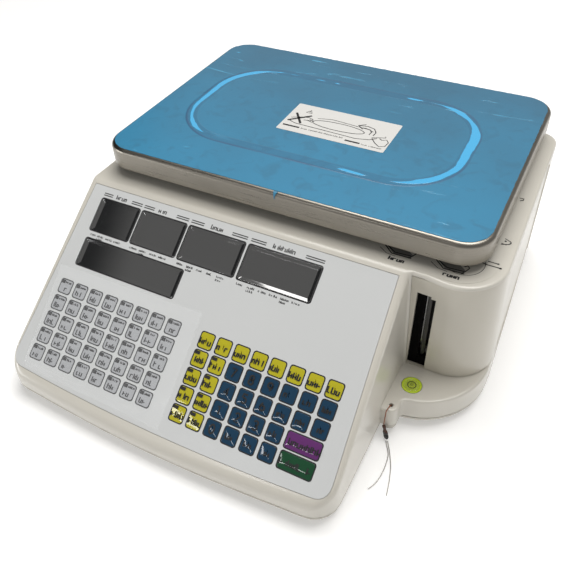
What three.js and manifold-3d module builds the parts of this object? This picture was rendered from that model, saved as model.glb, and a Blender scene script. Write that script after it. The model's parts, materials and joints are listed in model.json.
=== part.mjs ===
// A counter-top retail price scale with a built-in label printer.
// Millimetres, +Z up, operator at -Y, customer at +Y. Origin: centre of the underside.
import * as THREE from 'three';
import { mergeVertices } from 'three/addons/utils/BufferGeometryUtils.js';
import Module from 'manifold-3d';

const wasm = await Module();
wasm.setup();

// ---------------------------------------------------------------- driving dimensions
const GAP = 0.3;
const WALL = 3;
const DRAFT = 0.045;

const FOOT_HEIGHT = 8;
const TRAY_THICKNESS = 3;
const TRAY_TOP = FOOT_HEIGHT + TRAY_THICKNESS;
const FLANGE_Z = 32;
const DECK_Z = 136.2;

const BODY_HALF_WIDTH = 194;
const BODY_FRONT = -213;
const BODY_BACK = 207.5;
const BODY_REAR_RIGHT = 185;
const BAY_FRONT = -49.8;
const BAY_CORNER = 37.5;
const BACK_CORNER = 18;
const CONSOLE_RIGHT = 125.9;
const CONSOLE_CORNER = 23;
const CONSOLE_BOW = 6;
const CONSOLE_FRONT_LEAN = 0.6;
const SIDE_CHAMFER = 0.8;
const DECK_LIP = 3;
const DECK_LIP_BACK = 80;
const RIM = { top: 22, inset: WALL + 0.4, wall: 2 };

const SLOPE_ANGLE = THREE.MathUtils.degToRad(35.58);
const SLOPE_ORIGIN = [-151, -187, 38.8];
const OVERLAY_THICKNESS = 0.8;
const OVERLAY_TOP_V = 162.5;
const OVERLAY_BOTTOM_V = -15.5;
const OVERLAY_BOW = 5;
const OVERLAY_CORNER = 14;
const PANE = { margin: 1, thickness: 1.6 };
const WINDOW_WELL_DEPTH = 9;
const OPERATOR_BOARD = { min: [-24, 80], max: [212, 156], corner: 2, w0: -8.6, w1: -7 };
const DISPLAY_GLASS = { margin: -1, w0: -7.2, w1: -4 };
const MEMBRANE = { min: [-26, -12], max: [262, 76], corner: 3, w0: -6.4, w1: -5.2 };
const COVER = {
  outline: [[121, 84], [122, -17], [-24, -13.5], [-31, 82]],
  plateau: { min: [-26, -10], max: [108, 75] },
  corner: 3,
  film: 0.3,
  lift: 1,
};

const FLANGE_CENTRE = [132, -24];
const FLANGE_RADIUS_X = 62;
const FLANGE_RADIUS_Y = 65;
const TAB = { left: 120, right: 138, front: -104, corner: 7, hole: [131.6, -97.3], holeRadius: 1.6 };
const LEVEL = { centre: [139.8, -70.5], radius: 8.5 };

const DOOR_LEFT = 125.4;
const DOOR_WALL = 2.6;
const DOOR_TOP_GAP = 1.6;
const DOOR_BOTTOM = FLANGE_Z + 0.6;
const DOOR_TOP = DECK_Z - WALL - DOOR_TOP_GAP;
const HINGE_Y = 150;
const HINGE_BARREL_RADIUS = 2.2;
const HINGE_POCKET_RADIUS = 3;
const HINGE_PIN_RADIUS = 1;
const SLOT = { left: 128, step: 139.4, right: 143.4, bottom: 34.9, stepTop: 114.5, top: 117.7 };

const PLATTER = { centre: [-5, 87.5], width: 356, depth: 251, corner: 26, roll: 3, skirt: 20, sheet: 1.2 };
const PLATTER_TOP = 164.75;
const PLATTER_SKIRT_Z = PLATTER_TOP - PLATTER.skirt;
const FILM = { gap: 0.05, thickness: 0.25, inset: 0.2 };
const FILM_TOP = PLATTER_TOP + FILM.gap + FILM.thickness;
const PLATTER_LABEL = { min: [-50.5, 54.7], max: [55.4, 105.9], corner: 2, thickness: 0.2 };
const DECK_LABEL = { min: [80, -47.5], max: [180, 52], corner: 30, thickness: 0.2 };

const CELL = { length: 130, width: 30, height: 30, bottom: 70 };
const CELL_LIVE_Y = PLATTER.centre[1] - CELL.length / 2 + 20;
const CELL_FIXED_Y = PLATTER.centre[1] + CELL.length / 2 - 20;
const CELL_EYE = { radius: 8, offset: 9 };
const PLATFORM_TRAVEL = 0.6;
const PEDESTAL = { foot: [22, 16, 22], column: [15, 12, 18], footHeight: 8 };
const STOP_SCREW = { radius: 4, nutRadius: 8, nutHeight: 10 };
const SUPPORT = { bottom: 139.5, top: 145, halfWidth: 45, halfDepth: 70, arm: 26, post: 13 };
const PAD = { x: 140, y: 90, radius: 10, height: 5 };
const POST = { half: 15, hole: 22, holeCorner: 6 };

const GEAR_MODULE = 1;
const GEAR_THICKNESS = 5;
const GEAR_Z = 41;
const PLATEN = { centre: [141, -33], radius: 6.5, bottom: 58, length: 60, teeth: 14 };
const MOTOR = { centre: [100, -12], size: 39, height: 32, teeth: 12 };
const IDLER_TEETH = 34;
const ROLL = { centre: [112, 76], radius: 42, core: 12.5, bottom: 50, length: 60 };
const TAKEUP = { centre: [140, 150], radius: 9, length: 64 };
const GUIDE = { centre: [150, 8], radius: 4, length: 66 };
const CHASSIS = { left: 64, right: 176, front: -44, back: 166, bottom: 34, thickness: 2, top: 124 };
const SHAFT_RADIUS = 3;
const PIN_RADIUS = 2;
const RUNNING_FIT = 0.1;
const HEAD = { pivot: [126, 5], thickness: 4, front: 7, back: 9, boss: 4.5 };
const LEVER = { pivot: [115, -39], boss: 5, handle: [8, 30], grip: 5, cam: [9.3, 3], camDepth: 12 };
const PEEL_BAR = { left: 136, right: 140, footRight: 146, front: -44.6, back: -42.4 };
const MAIN_BOARD = { min: [-176, -30, 24], max: [-90, 110, 25.6], standoff: 3, inset: 6 };
const BOARD_PARTS = [
  { min: [-150, 10, 25], max: [-122, 38, 28.5] },
  { min: [-112, 60, 25], max: [-96, 100, 36] },
];
const POWER_SUPPLY = { min: [-176, 114], max: [-92, 164], top: 56 };
const ROCKER = { halfWidth: 7.8, halfDepth: 5, bottom: -3, pressed: 1.2, centre: -0.2, raised: 2.6 };

// ---------------------------------------------------------------- materials
const surface = (color, roughness, metalness = 0, opacity = 1) =>
  new THREE.MeshStandardMaterial({ color, roughness, metalness, opacity, transparent: opacity < 1 });
const shellPlastic = surface(0xe4e0d4, 0.35);
const trayPlastic = surface(0xdcd8cc, 0.45);
const overlayFilm = surface(0xb9bcc0, 0.4);
const clearFilm = surface(0xe8ecef, 0.1, 0, 0.35);
const windowPlastic = surface(0x3b3f3f, 0.1);
const displayGlass = surface(0x4a524c, 0.2);
const brushedSteel = surface(0xa8a296, 0.35, 1);
const protectiveFilm = surface(0x3f97c4, 0.25);
const labelPaper = surface(0xf4f4f2, 0.7);
const castAluminium = surface(0xa9abad, 0.5, 1);
const zincSteel = surface(0xb6b8ba, 0.4, 1);
const blackRubber = surface(0x1c1c1c, 0.9);
const blackPlastic = surface(0x202123, 0.5);
const circuitBoard = surface(0x1f5a3a, 0.5);
const gearPlastic = surface(0xe9e7e0, 0.5);
const leverPlastic = surface(0x2f7fb8, 0.45);
const levelLiquid = surface(0xb7cf2c, 0.2);
const levelLens = surface(0xdbe87a, 0.05, 0, 0.5);
const sealPlastic = surface(0x2a1f1b, 0.4);
const sealWire = surface(0x8a8a88, 0.4, 1);

// ---------------------------------------------------------------- solid helpers
function toSolid(geometry) {
  const plain = geometry.index ? geometry.toNonIndexed() : geometry.clone();
  plain.deleteAttribute('normal');
  plain.deleteAttribute('uv');
  const merged = mergeVertices(plain, 1e-4);
  return new wasm.Manifold(new wasm.Mesh({
    numProp: 3,
    vertProperties: new Float32Array(merged.attributes.position.array),
    triVerts: new Uint32Array(merged.index.array),
  }));
}

function toGeometry(solid) {
  const mesh = solid.getMesh();
  const geometry = new THREE.BufferGeometry();
  geometry.setAttribute('position', new THREE.BufferAttribute(new Float32Array(mesh.vertProperties), 3));
  geometry.setIndex(new THREE.BufferAttribute(new Uint32Array(mesh.triVerts), 1));
  geometry.computeVertexNormals();
  return geometry;
}

const join = (first, ...others) => others.reduce((total, other) => total.add(other), first);
const cut = (first, ...others) => others.reduce((total, other) => total.subtract(other), first);

function box([x0, y0, z0], [x1, y1, z1]) {
  const geometry = new THREE.BoxGeometry(x1 - x0, y1 - y0, z1 - z0);
  geometry.translate((x0 + x1) / 2, (y0 + y1) / 2, (z0 + z1) / 2);
  return toSolid(geometry);
}

function rod([x, y], radius, z0, z1, sides = 16) {
  const geometry = new THREE.CylinderGeometry(radius, radius, z1 - z0, sides);
  geometry.rotateX(Math.PI / 2);
  geometry.translate(x, y, (z0 + z1) / 2);
  return toSolid(geometry);
}

function prism(shape, z0, z1, curveSegments = 3) {
  const geometry = new THREE.ExtrudeGeometry(shape, { depth: z1 - z0, bevelEnabled: false, curveSegments });
  geometry.translate(0, 0, z0);
  return toSolid(geometry);
}

function roundedRectangle([x0, y0], [x1, y1], radius) {
  const shape = new THREE.Shape();
  shape.absarc(x1 - radius, y0 + radius, radius, -Math.PI / 2, 0);
  shape.absarc(x1 - radius, y1 - radius, radius, 0, Math.PI / 2);
  shape.absarc(x0 + radius, y1 - radius, radius, Math.PI / 2, Math.PI);
  shape.absarc(x0 + radius, y0 + radius, radius, Math.PI, 1.5 * Math.PI);
  return shape;
}

// A closed solid through rings of the same length, each {z, points} and listed upwards.
function loft(rings) {
  const count = rings[0].points.length;
  const vertices = rings.flatMap(({ z, points }) => points.map((p) => [p.x, p.y, z]));
  const triangles = [];
  for (let level = 0; level < rings.length - 1; level += 1) {
    for (let i = 0; i < count; i += 1) {
      const a = level * count + i;
      const b = level * count + ((i + 1) % count);
      triangles.push([a, b, b + count], [a, b + count, a + count]);
    }
  }
  const top = (rings.length - 1) * count;
  for (const [i, j, k] of THREE.ShapeUtils.triangulateShape(rings[0].points, [])) {
    triangles.push([k, j, i]);
  }
  for (const [i, j, k] of THREE.ShapeUtils.triangulateShape(rings.at(-1).points, [])) {
    triangles.push([top + i, top + j, top + k]);
  }
  const geometry = new THREE.BufferGeometry();
  geometry.setAttribute('position', new THREE.Float32BufferAttribute(vertices.flat(), 3));
  geometry.setIndex(triangles.flat());
  return toSolid(geometry);
}

function arcPoints([cx, cy], rx, ry, from, to, steps) {
  return Array.from({ length: steps + 1 }, (unused, i) => {
    const angle = from + ((to - from) * i) / steps;
    return new THREE.Vector2(cx + rx * Math.cos(angle), cy + ry * Math.sin(angle));
  });
}

function sticker({ min, max, corner, thickness }, face) {
  const bottom = face + FILM.gap;
  return prism(roundedRectangle(min, max, corner), bottom, bottom + thickness);
}

const group = new THREE.Group();
function part(name, solid, material, parent = group) {
  const mesh = new THREE.Mesh(toGeometry(solid), material);
  mesh.name = name;
  parent.add(mesh);
  return mesh;
}

// ---------------------------------------------------------------- outlines of the case
const draftAt = (z) => (z - FOOT_HEIGHT) * DRAFT;
const SIDE_START = BAY_FRONT + BAY_CORNER;
const QUARTER = Math.PI / 2;

// The console in front: straight drafted sides, round front corners and a front edge bowed outwards.
function consoleRing(z, inset) {
  const side = draftAt(z) + inset;
  const left = -BODY_HALF_WIDTH + side;
  const right = CONSOLE_RIGHT - side;
  const front = BODY_FRONT + CONSOLE_BOW + draftAt(z) * CONSOLE_FRONT_LEAN + inset;
  const radius = CONSOLE_CORNER - inset;
  const bowSteps = 6;
  const span = right - left - 2 * radius;
  const bow = Array.from({ length: bowSteps - 1 }, (unused, i) => {
    const t = (i + 1) / bowSteps;
    return new THREE.Vector2(left + radius + span * t, front - CONSOLE_BOW * Math.sin(Math.PI * t));
  });
  const back = BAY_FRONT + 20;
  return {
    z,
    points: [
      new THREE.Vector2(left, back),
      ...arcPoints([left + radius, front + radius], radius, radius, Math.PI, 1.5 * Math.PI, 5),
      ...bow,
      ...arcPoints([right - radius, front + radius], radius, radius, -QUARTER, 0, 5),
      new THREE.Vector2(right, back),
    ],
  };
}

// The block under the platter: the printer bay rounds its front right corner, and from there the
// right side closes in towards the back, where it stands upright.
function bodyRing(z, inset) {
  const side = draftAt(z) + inset;
  const left = -BODY_HALF_WIDTH + side;
  const right = BODY_HALF_WIDTH - side;
  const rearRight = BODY_REAR_RIGHT - inset;
  const back = BODY_BACK - side;
  const front = BAY_FRONT + inset;
  const bay = BAY_CORNER - inset;
  const corner = BACK_CORNER - inset;
  return {
    z,
    points: [
      new THREE.Vector2(left, front),
      ...arcPoints([right - bay, front + bay], bay, bay, -QUARTER, 0, 8),
      ...arcPoints([rearRight - corner, back - corner], corner, corner, 0, QUARTER, 5),
      ...arcPoints([left + corner, back - corner], corner, corner, QUARTER, Math.PI, 5),
    ],
  };
}

// The low flange that carries the level, a quarter ellipse in front of the bay.
function flangeRing(z, inset) {
  const rx = FLANGE_RADIUS_X - draftAt(z) - inset;
  const ry = FLANGE_RADIUS_Y - draftAt(z) - inset;
  const [cx, cy] = FLANGE_CENTRE;
  const left = CONSOLE_RIGHT - 10;
  return {
    z,
    points: [
      new THREE.Vector2(left, cy - ry),
      ...arcPoints(FLANGE_CENTRE, rx, ry, -QUARTER, 0, 10),
      new THREE.Vector2(cx + rx, SIDE_START),
      new THREE.Vector2(cx + rx - 12, 20),
      new THREE.Vector2(left, 20),
    ],
  };
}

function tabShape(inset) {
  const shape = new THREE.Shape();
  const right = TAB.right - inset;
  const front = TAB.front + inset;
  const radius = TAB.corner - inset;
  shape.moveTo(TAB.left, front);
  shape.absarc(right - radius, front + radius, radius, -QUARTER, 0);
  shape.lineTo(right, front + 25);
  shape.lineTo(TAB.left, front + 25);
  return shape;
}

const [SLOPE_X, SLOPE_Y, SLOPE_Z] = SLOPE_ORIGIN;

// Everything above the sloping panel, lowered by the given depth along the panel's normal.
function aboveSlope(depth) {
  const size = 600;
  const geometry = new THREE.BoxGeometry(size, size, size);
  geometry.translate(0, 0, size / 2 - depth);
  geometry.rotateX(SLOPE_ANGLE);
  geometry.translate(0, SLOPE_Y, SLOPE_Z);
  return toSolid(geometry);
}

// A prism standing on the sloping panel: the shape is drawn in the panel's own u, v.
function onSlope(shape, w0, w1, curveSegments = 2) {
  const geometry = new THREE.ExtrudeGeometry(shape, { depth: w1 - w0, bevelEnabled: false, curveSegments });
  geometry.translate(0, 0, w0);
  geometry.rotateX(SLOPE_ANGLE);
  geometry.translate(SLOPE_X, SLOPE_Y, SLOPE_Z);
  return toSolid(geometry);
}

// ---------------------------------------------------------------- tilted hinge axis of the printer door
const HINGE_SHARE = (HINGE_Y - SIDE_START) / (BODY_BACK - BACK_CORNER - SIDE_START);
const HINGE_X = BODY_HALF_WIDTH + (BODY_REAR_RIGHT - BODY_HALF_WIDTH) * HINGE_SHARE - DOOR_WALL / 2;
const HINGE_LEAN = Math.atan(DRAFT * (1 - HINGE_SHARE));
function alongHinge(radius, z0, z1, sides = 12) {
  const geometry = new THREE.CylinderGeometry(radius, radius, z1 - z0, sides);
  geometry.rotateX(QUARTER);
  geometry.translate(0, 0, (z0 + z1) / 2 - FOOT_HEIGHT);
  geometry.rotateY(-HINGE_LEAN);
  geometry.translate(HINGE_X, HINGE_Y, FOOT_HEIGHT);
  return toSolid(geometry);
}

// ---------------------------------------------------------------- case
function consoleSolid(bottom, top, inset, depth) {
  return loft([consoleRing(bottom, inset), consoleRing(top, inset)]).subtract(aboveSlope(depth));
}

const bodySolid = (bottom, top, inset) => loft([bodyRing(bottom, inset), bodyRing(top, inset)]);

// The deck over the body, standing out as a lip towards the front.
function deckRing(z, inset) {
  const ring = bodyRing(DECK_Z, 0);
  const middle = DECK_LIP_BACK;
  const points = ring.points.map((p) => {
    const y = p.y < middle ? p.y - (DECK_LIP * (middle - p.y)) / (middle - BAY_FRONT) : p.y;
    const length = Math.hypot(p.x, y - middle);
    const scale = (length - inset) / length;
    return new THREE.Vector2(p.x * scale, middle + (y - middle) * scale);
  });
  return { z, points };
}

function baseTray() {
  const bottom = FOOT_HEIGHT;
  const floor = join(
    loft([consoleRing(bottom, SIDE_CHAMFER), consoleRing(TRAY_TOP, 0)]),
    bodySolid(bottom, TRAY_TOP, 0),
    loft([flangeRing(bottom, SIDE_CHAMFER), flangeRing(TRAY_TOP, 0)]),
    prism(tabShape(0.3), bottom, TRAY_TOP),
  );
  const inner = RIM.inset + RIM.wall;
  const rim = cut(
    join(
      loft([consoleRing(TRAY_TOP, RIM.inset), consoleRing(RIM.top, RIM.inset)]),
      bodySolid(TRAY_TOP, RIM.top, RIM.inset),
    ),
    loft([consoleRing(TRAY_TOP, inner), consoleRing(RIM.top + 1, inner)]),
    bodySolid(TRAY_TOP, RIM.top + 1, inner),
  ).subtract(aboveSlope(inner));
  const footHoles = footPlaces.map(({ at }) => rod(at, FOOT.stud + 0.2, bottom - 1, FOOT.bossTop + 1));
  const bosses = footPlaces.map(({ at }) => rod(at, FOOT.boss, TRAY_TOP - 1, FOOT.bossTop));
  const sealHole = rod(TAB.hole, TAB.holeRadius, bottom - 1, TRAY_TOP + 1, 12);
  return cut(join(floor, rim, ...bosses), ...footHoles, sealHole);
}

function windowShape({ u0, u1, v0, v1 }, margin) {
  return roundedRectangle([u0 - margin, v0 - margin], [u1 + margin, v1 + margin], 2.2 + margin * 0.5);
}

const WINDOWS = [
  { name: 'display_window_tare', u0: -17.4, u1: 25.3, v0: 120.1, v1: 151.3 },
  { name: 'display_window_weight', u0: 27.9, u1: 75.2, v0: 120.1, v1: 151.3 },
  { name: 'display_window_unit_price', u0: 78, u1: 134, v0: 120.1, v1: 151.3 },
  { name: 'display_window_total', u0: 137.3, u1: 204.9, v0: 120.1, v1: 151.3 },
  { name: 'display_window_message', u0: -16.6, u1: 88.9, v0: 86.5, v1: 112.4 },
];

// The overlay widens towards the operator and its lower edge is bowed like the console.
function overlayShape(margin) {
  const topLeft = -30.6 - margin;
  const topRight = 264.3 + margin;
  const bottomLeft = -38 - margin;
  const bottomRight = 271 + margin;
  const top = OVERLAY_TOP_V + margin;
  const bottom = OVERLAY_BOTTOM_V - margin;
  const radius = OVERLAY_CORNER + margin;
  const shape = new THREE.Shape();
  shape.moveTo(topRight, top);
  shape.lineTo(topLeft, top);
  shape.lineTo(bottomLeft, bottom + radius);
  shape.quadraticCurveTo(bottomLeft, bottom, bottomLeft + radius, bottom);
  shape.quadraticCurveTo(
    (bottomLeft + bottomRight) / 2, bottom - 2 * OVERLAY_BOW,
    bottomRight - radius, bottom,
  );
  shape.quadraticCurveTo(bottomRight, bottom, bottomRight, bottom + radius);
  return shape;
}

const REAR = {
  face: BODY_BACK,
  display: { x0: -110, x1: 110, z0: 66, z1: 112 },
  inlet: { x: -150, z: 38, width: 27, height: 19 },
  switch: { x: -110, z: 38, width: 21, height: 14 },
  network: { x: -60, z: 36, width: 16, height: 13.5 },
  serial: { x: -25, z: 36, width: 19, height: 11 },
};
const rearHole = ({ x, z, width, height }, margin) => box(
  [x - width / 2 - margin, REAR.face - 15, z - height / 2 - margin],
  [x + width / 2 + margin, REAR.face + 5, z + height / 2 + margin],
);

function topHousing() {
  const bottom = TRAY_TOP + GAP;
  const shoulder = DECK_Z - WALL;
  const deck = [
    deckRing(shoulder, SIDE_CHAMFER), deckRing(shoulder + 1, 0),
    deckRing(DECK_Z - 1, 0), deckRing(DECK_Z, 1),
  ];
  const outer = join(
    consoleSolid(bottom, DECK_Z, 0, 0),
    bodySolid(bottom, shoulder, 0),
    loft(deck),
    loft([flangeRing(bottom, 0), flangeRing(FLANGE_Z - 1.5, 0), flangeRing(FLANGE_Z, 1.2)]),
    prism(tabShape(0), bottom, FLANGE_Z),
  );
  const hollow = join(
    consoleSolid(bottom - 1, shoulder, WALL, WALL + 1),
    bodySolid(bottom - 1, shoulder, WALL),
    loft([flangeRing(bottom - 1, WALL), flangeRing(FLANGE_Z - WALL, WALL)]),
  );
  const doorway = join(
    box([DOOR_LEFT - GAP, BAY_FRONT - 1, FLANGE_Z + GAP], [250, BAY_FRONT + 30, shoulder]),
    box([BODY_HALF_WIDTH - 30, BAY_FRONT, FLANGE_Z + GAP], [250, HINGE_Y, shoulder]),
    alongHinge(HINGE_POCKET_RADIUS, FLANGE_Z + GAP, shoulder),
  );
  const [liveX, liveY] = [PLATTER.centre[0], CELL_LIVE_Y];
  const half = POST.hole;
  const postHole = roundedRectangle(
    [liveX - half, liveY - half], [liveX + half, liveY + half], POST.holeCorner,
  );
  const display = REAR.display;
  const openings = [
    onSlope(overlayShape(0.4), -OVERLAY_THICKNESS - GAP, 10),
    ...WINDOWS.map((window) => onSlope(windowShape(window, 2), -WINDOW_WELL_DEPTH, 5)),
    prism(postHole, shoulder - 5, DECK_Z + 5),
    box([display.x0, REAR.face - 20, display.z0], [display.x1, REAR.face + 5, display.z1]),
    ...[REAR.inlet, REAR.switch, REAR.network, REAR.serial].map((place) => rearHole(place, GAP)),
    rod(LEVEL.centre, LEVEL.radius + 0.4, FLANGE_Z - 2, FLANGE_Z + 2, 24),
    rod(TAB.hole, TAB.holeRadius, FOOT_HEIGHT, FLANGE_Z + 1, 12),
    alongHinge(HINGE_PIN_RADIUS + 0.1, FLANGE_Z - 2, DECK_Z - 1.5),
  ];
  return cut(outer, hollow, doorway, ...openings);
}

function printerDoor() {
  const skin = bodySolid(DOOR_BOTTOM, DOOR_TOP, 0)
    .subtract(bodySolid(DOOR_BOTTOM - 1, DOOR_TOP + 1, DOOR_WALL));
  const zone = join(
    box([DOOR_LEFT, BAY_FRONT - 1, DOOR_BOTTOM - 1], [250, BAY_FRONT + 40, DOOR_TOP + 1]),
    box([BODY_HALF_WIDTH - 40, BAY_FRONT, DOOR_BOTTOM - 1], [250, HINGE_Y, DOOR_TOP + 1]),
  );
  const slot = join(
    box([SLOT.left, BAY_FRONT - 5, SLOT.bottom], [SLOT.step, BAY_FRONT + 5, SLOT.top]),
    box([SLOT.left, BAY_FRONT - 5, SLOT.bottom], [SLOT.right, BAY_FRONT + 5, SLOT.stepTop]),
  );
  const barrel = alongHinge(HINGE_BARREL_RADIUS, DOOR_BOTTOM + 0.2, DOOR_TOP - 0.2);
  const bore = alongHinge(HINGE_PIN_RADIUS + 0.15, DOOR_BOTTOM - 2, DOOR_TOP + 2);
  return cut(join(skin.intersect(zone), barrel), slot, bore);
}

// ---------------------------------------------------------------- feet
const FOOT = { stud: 3, boss: 7, bossTop: 24, padRadius: 14 };
const footPlaces = [
  { name: 'front_left', at: [-160, -165] },
  { name: 'front_right', at: [92, -165] },
  { name: 'rear_left', at: [-165, 175] },
  { name: 'rear_right', at: [165, 175] },
];

function feet() {
  for (const { name, at } of footPlaces) {
    const padTop = FOOT_HEIGHT - 1.5;
    const disc = (z, inset) => {
      const radius = FOOT.padRadius - inset;
      return { z, points: arcPoints(at, radius, radius, 0, 2 * Math.PI, 20).slice(0, -1) };
    };
    const pad = loft([disc(0, 1), disc(1, 0), disc(padTop, 1.5)]);
    part(`foot_${name}`, join(pad, rod(at, FOOT.stud, padTop - 1, FOOT.bossTop - 2)), blackRubber);
  }
}

// ---------------------------------------------------------------- front panel
function sheetOnSlope({ min, max, corner, w0, w1 }, curveSegments = 2) {
  return onSlope(roundedRectangle(min, max, corner), w0, w1, curveSegments);
}

// A loose clear film: a flat skirt round a plateau that stands clear of the keys.
function keypadCover() {
  const { outline, plateau, corner, film, lift } = COVER;
  const [u0, v0] = plateau.min;
  const [u1, v1] = plateau.max;
  const underside = onSlope(roundedRectangle([u0 + 1, v0 + 1], [u1 - 1, v1 - 1], corner), 0, lift);
  const skirt = onSlope(new THREE.Shape(outline.map((p) => new THREE.Vector2(...p))), film, 2 * film);
  const raised = onSlope(roundedRectangle(plateau.min, plateau.max, corner), film, film + lift);
  return cut(join(skirt, raised), underside);
}

function frontPanel() {
  const overlay = cut(
    onSlope(overlayShape(0), -OVERLAY_THICKNESS, 0),
    ...WINDOWS.map((window) => onSlope(windowShape(window, 0), -OVERLAY_THICKNESS - 1, 1)),
  );
  part('keypad_overlay', overlay, overlayFilm);
  part('keypad_cover', keypadCover(), clearFilm);
  const paneTop = -OVERLAY_THICKNESS - GAP;
  for (const window of WINDOWS) {
    const pane = onSlope(windowShape(window, PANE.margin), paneTop - PANE.thickness, paneTop);
    part(window.name, pane, windowPlastic);
  }
  const board = sheetOnSlope(OPERATOR_BOARD, 1);
  const glasses = WINDOWS.map((window) => (
    onSlope(windowShape(window, DISPLAY_GLASS.margin), DISPLAY_GLASS.w0, DISPLAY_GLASS.w1, 1)
  ));
  part('operator_display', join(board, ...glasses), displayGlass);
  part('membrane_switch_sheet', sheetOnSlope(MEMBRANE), circuitBoard);
}

// ---------------------------------------------------------------- weighing
function arm(from, to, width, z0, z1) {
  const start = new THREE.Vector2(...from);
  const end = new THREE.Vector2(...to);
  const length = start.distanceTo(end);
  const geometry = new THREE.BoxGeometry(length, width, z1 - z0);
  geometry.rotateZ(Math.atan2(end.y - start.y, end.x - start.x));
  geometry.translate((start.x + end.x) / 2, (start.y + end.y) / 2, (z0 + z1) / 2);
  return toSolid(geometry);
}

function platterRing(z, inset) {
  const [cx, cy] = PLATTER.centre;
  const [halfWidth, halfDepth] = [PLATTER.width / 2 - inset, PLATTER.depth / 2 - inset];
  const radius = PLATTER.corner - inset;
  const corner = ([sx, sy, from]) => arcPoints(
    [cx + sx * (halfWidth - radius), cy + sy * (halfDepth - radius)], radius, radius, from, from + QUARTER, 6,
  );
  return { z, points: [[1, -1, -QUARTER], [1, 1, 0], [-1, 1, QUARTER], [-1, -1, Math.PI]].flatMap(corner) };
}

// The bending beam, the block it is fixed to, and the screw that stops it when overloaded.
function loadCell() {
  const [cx, cy] = PLATTER.centre;
  const bottom = TRAY_TOP + GAP;
  const slab = ([half, front, back], z0, z1) => box(
    [cx - half, CELL_FIXED_Y - front, z0], [cx + half, CELL_FIXED_Y + back, z1],
  );
  const footTop = TRAY_TOP + PEDESTAL.footHeight;
  const pedestal = join(
    slab(PEDESTAL.foot, bottom, footTop),
    slab(PEDESTAL.column, footTop - 1, CELL.bottom - GAP),
  );
  part('load_cell_pedestal', pedestal, castAluminium);
  const eyes = [-CELL_EYE.offset, CELL_EYE.offset].map((offset) => {
    const geometry = new THREE.CylinderGeometry(CELL_EYE.radius, CELL_EYE.radius, CELL.width + 2, 16);
    geometry.rotateZ(QUARTER);
    geometry.translate(cx, cy + offset, CELL.bottom + CELL.height / 2);
    return toSolid(geometry);
  });
  const cell = box(
    [cx - CELL.width / 2, cy - CELL.length / 2, CELL.bottom],
    [cx + CELL.width / 2, cy + CELL.length / 2, CELL.bottom + CELL.height],
  );
  part('load_cell', cut(cell, ...eyes), castAluminium);
  const stopScrew = join(
    rod([cx, CELL_LIVE_Y], STOP_SCREW.radius, bottom, CELL.bottom - PLATFORM_TRAVEL - GAP),
    rod([cx, CELL_LIVE_Y], STOP_SCREW.nutRadius, bottom, TRAY_TOP + STOP_SCREW.nutHeight, 6),
  );
  part('overload_stop', stopScrew, zincSteel);
}

// What rides on the load cell: the post through the deck, the four-armed support and its pads.
function platform() {
  const [cx, cy] = PLATTER.centre;
  const adaptorBottom = CELL.bottom + CELL.height + PLATFORM_TRAVEL + 0.4;
  const padTop = PLATTER_TOP - PLATTER.sheet - GAP;
  const padBottom = padTop - PAD.height;
  const post = box(
    [cx - POST.half, CELL_LIVE_Y - POST.half, adaptorBottom],
    [cx + POST.half, CELL_LIVE_Y + POST.half, SUPPORT.bottom - GAP],
  );
  part('load_cell_adaptor', post, castAluminium);
  const corners = [[-1, -1, 'front_left'], [1, -1, 'front_right'], [-1, 1, 'rear_left'], [1, 1, 'rear_right']]
    .map(([sx, sy, name]) => ({ name, at: [cx + sx * PAD.x, cy + sy * PAD.y] }));
  const spider = join(
    box(
      [cx - SUPPORT.halfWidth, cy - SUPPORT.halfDepth, SUPPORT.bottom],
      [cx + SUPPORT.halfWidth, cy + SUPPORT.halfDepth, SUPPORT.top],
    ),
    ...corners.map(({ at }) => arm([cx, cy], at, SUPPORT.arm, SUPPORT.bottom, SUPPORT.top)),
    ...corners.map(({ at }) => rod(at, SUPPORT.post, SUPPORT.bottom, padBottom - GAP)),
  );
  part('platter_support', spider, castAluminium);
  for (const { name, at } of corners) {
    part(`platter_pad_${name}`, rod(at, PAD.radius, padBottom, padTop), blackRubber);
  }
}

// The pressed pan with its protective film and label.
function platterPan() {
  const { roll, sheet } = PLATTER;
  const shell = (inset, bottom) => loft([
    platterRing(bottom, inset), platterRing(PLATTER_TOP - roll, inset),
    platterRing(PLATTER_TOP - roll * 0.3 - inset * 0.7, inset + roll * 0.3),
    platterRing(PLATTER_TOP - inset, Math.max(roll, inset + roll * 0.7)),
  ]);
  part('platter', shell(0, PLATTER_SKIRT_Z).subtract(shell(sheet, PLATTER_SKIRT_Z - 1)), brushedSteel);
  const filmRings = [PLATTER_TOP + FILM.gap, FILM_TOP].map((z) => platterRing(z, roll + FILM.inset));
  part('platter_film', loft(filmRings), protectiveFilm);
  part('platter_label', sticker(PLATTER_LABEL, FILM_TOP), labelPaper);
}

// ---------------------------------------------------------------- printer
// A straight-sided gear; phase is the angle of its first tooth.
function gear([x, y], teeth, phase, z0, boreRadius) {
  const pitch = (GEAR_MODULE * teeth) / 2;
  const step = (2 * Math.PI) / teeth;
  const shape = new THREE.Shape();
  const corners = [
    [-0.25, pitch - 1.2 * GEAR_MODULE], [-0.1, pitch + 0.75 * GEAR_MODULE],
    [0.1, pitch + 0.75 * GEAR_MODULE], [0.25, pitch - 1.2 * GEAR_MODULE],
  ];
  const points = Array.from({ length: teeth }, (unused, i) => corners.map(([share, radius]) => {
    const angle = phase + (i + share) * step;
    return new THREE.Vector2(x + radius * Math.cos(angle), y + radius * Math.sin(angle));
  })).flat();
  shape.setFromPoints(points);
  const hole = new THREE.Path();
  hole.absarc(x, y, boreRadius, 0, 2 * Math.PI, true);
  shape.holes.push(hole);
  return prism(shape, z0, z0 + GEAR_THICKNESS, 8);
}

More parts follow.
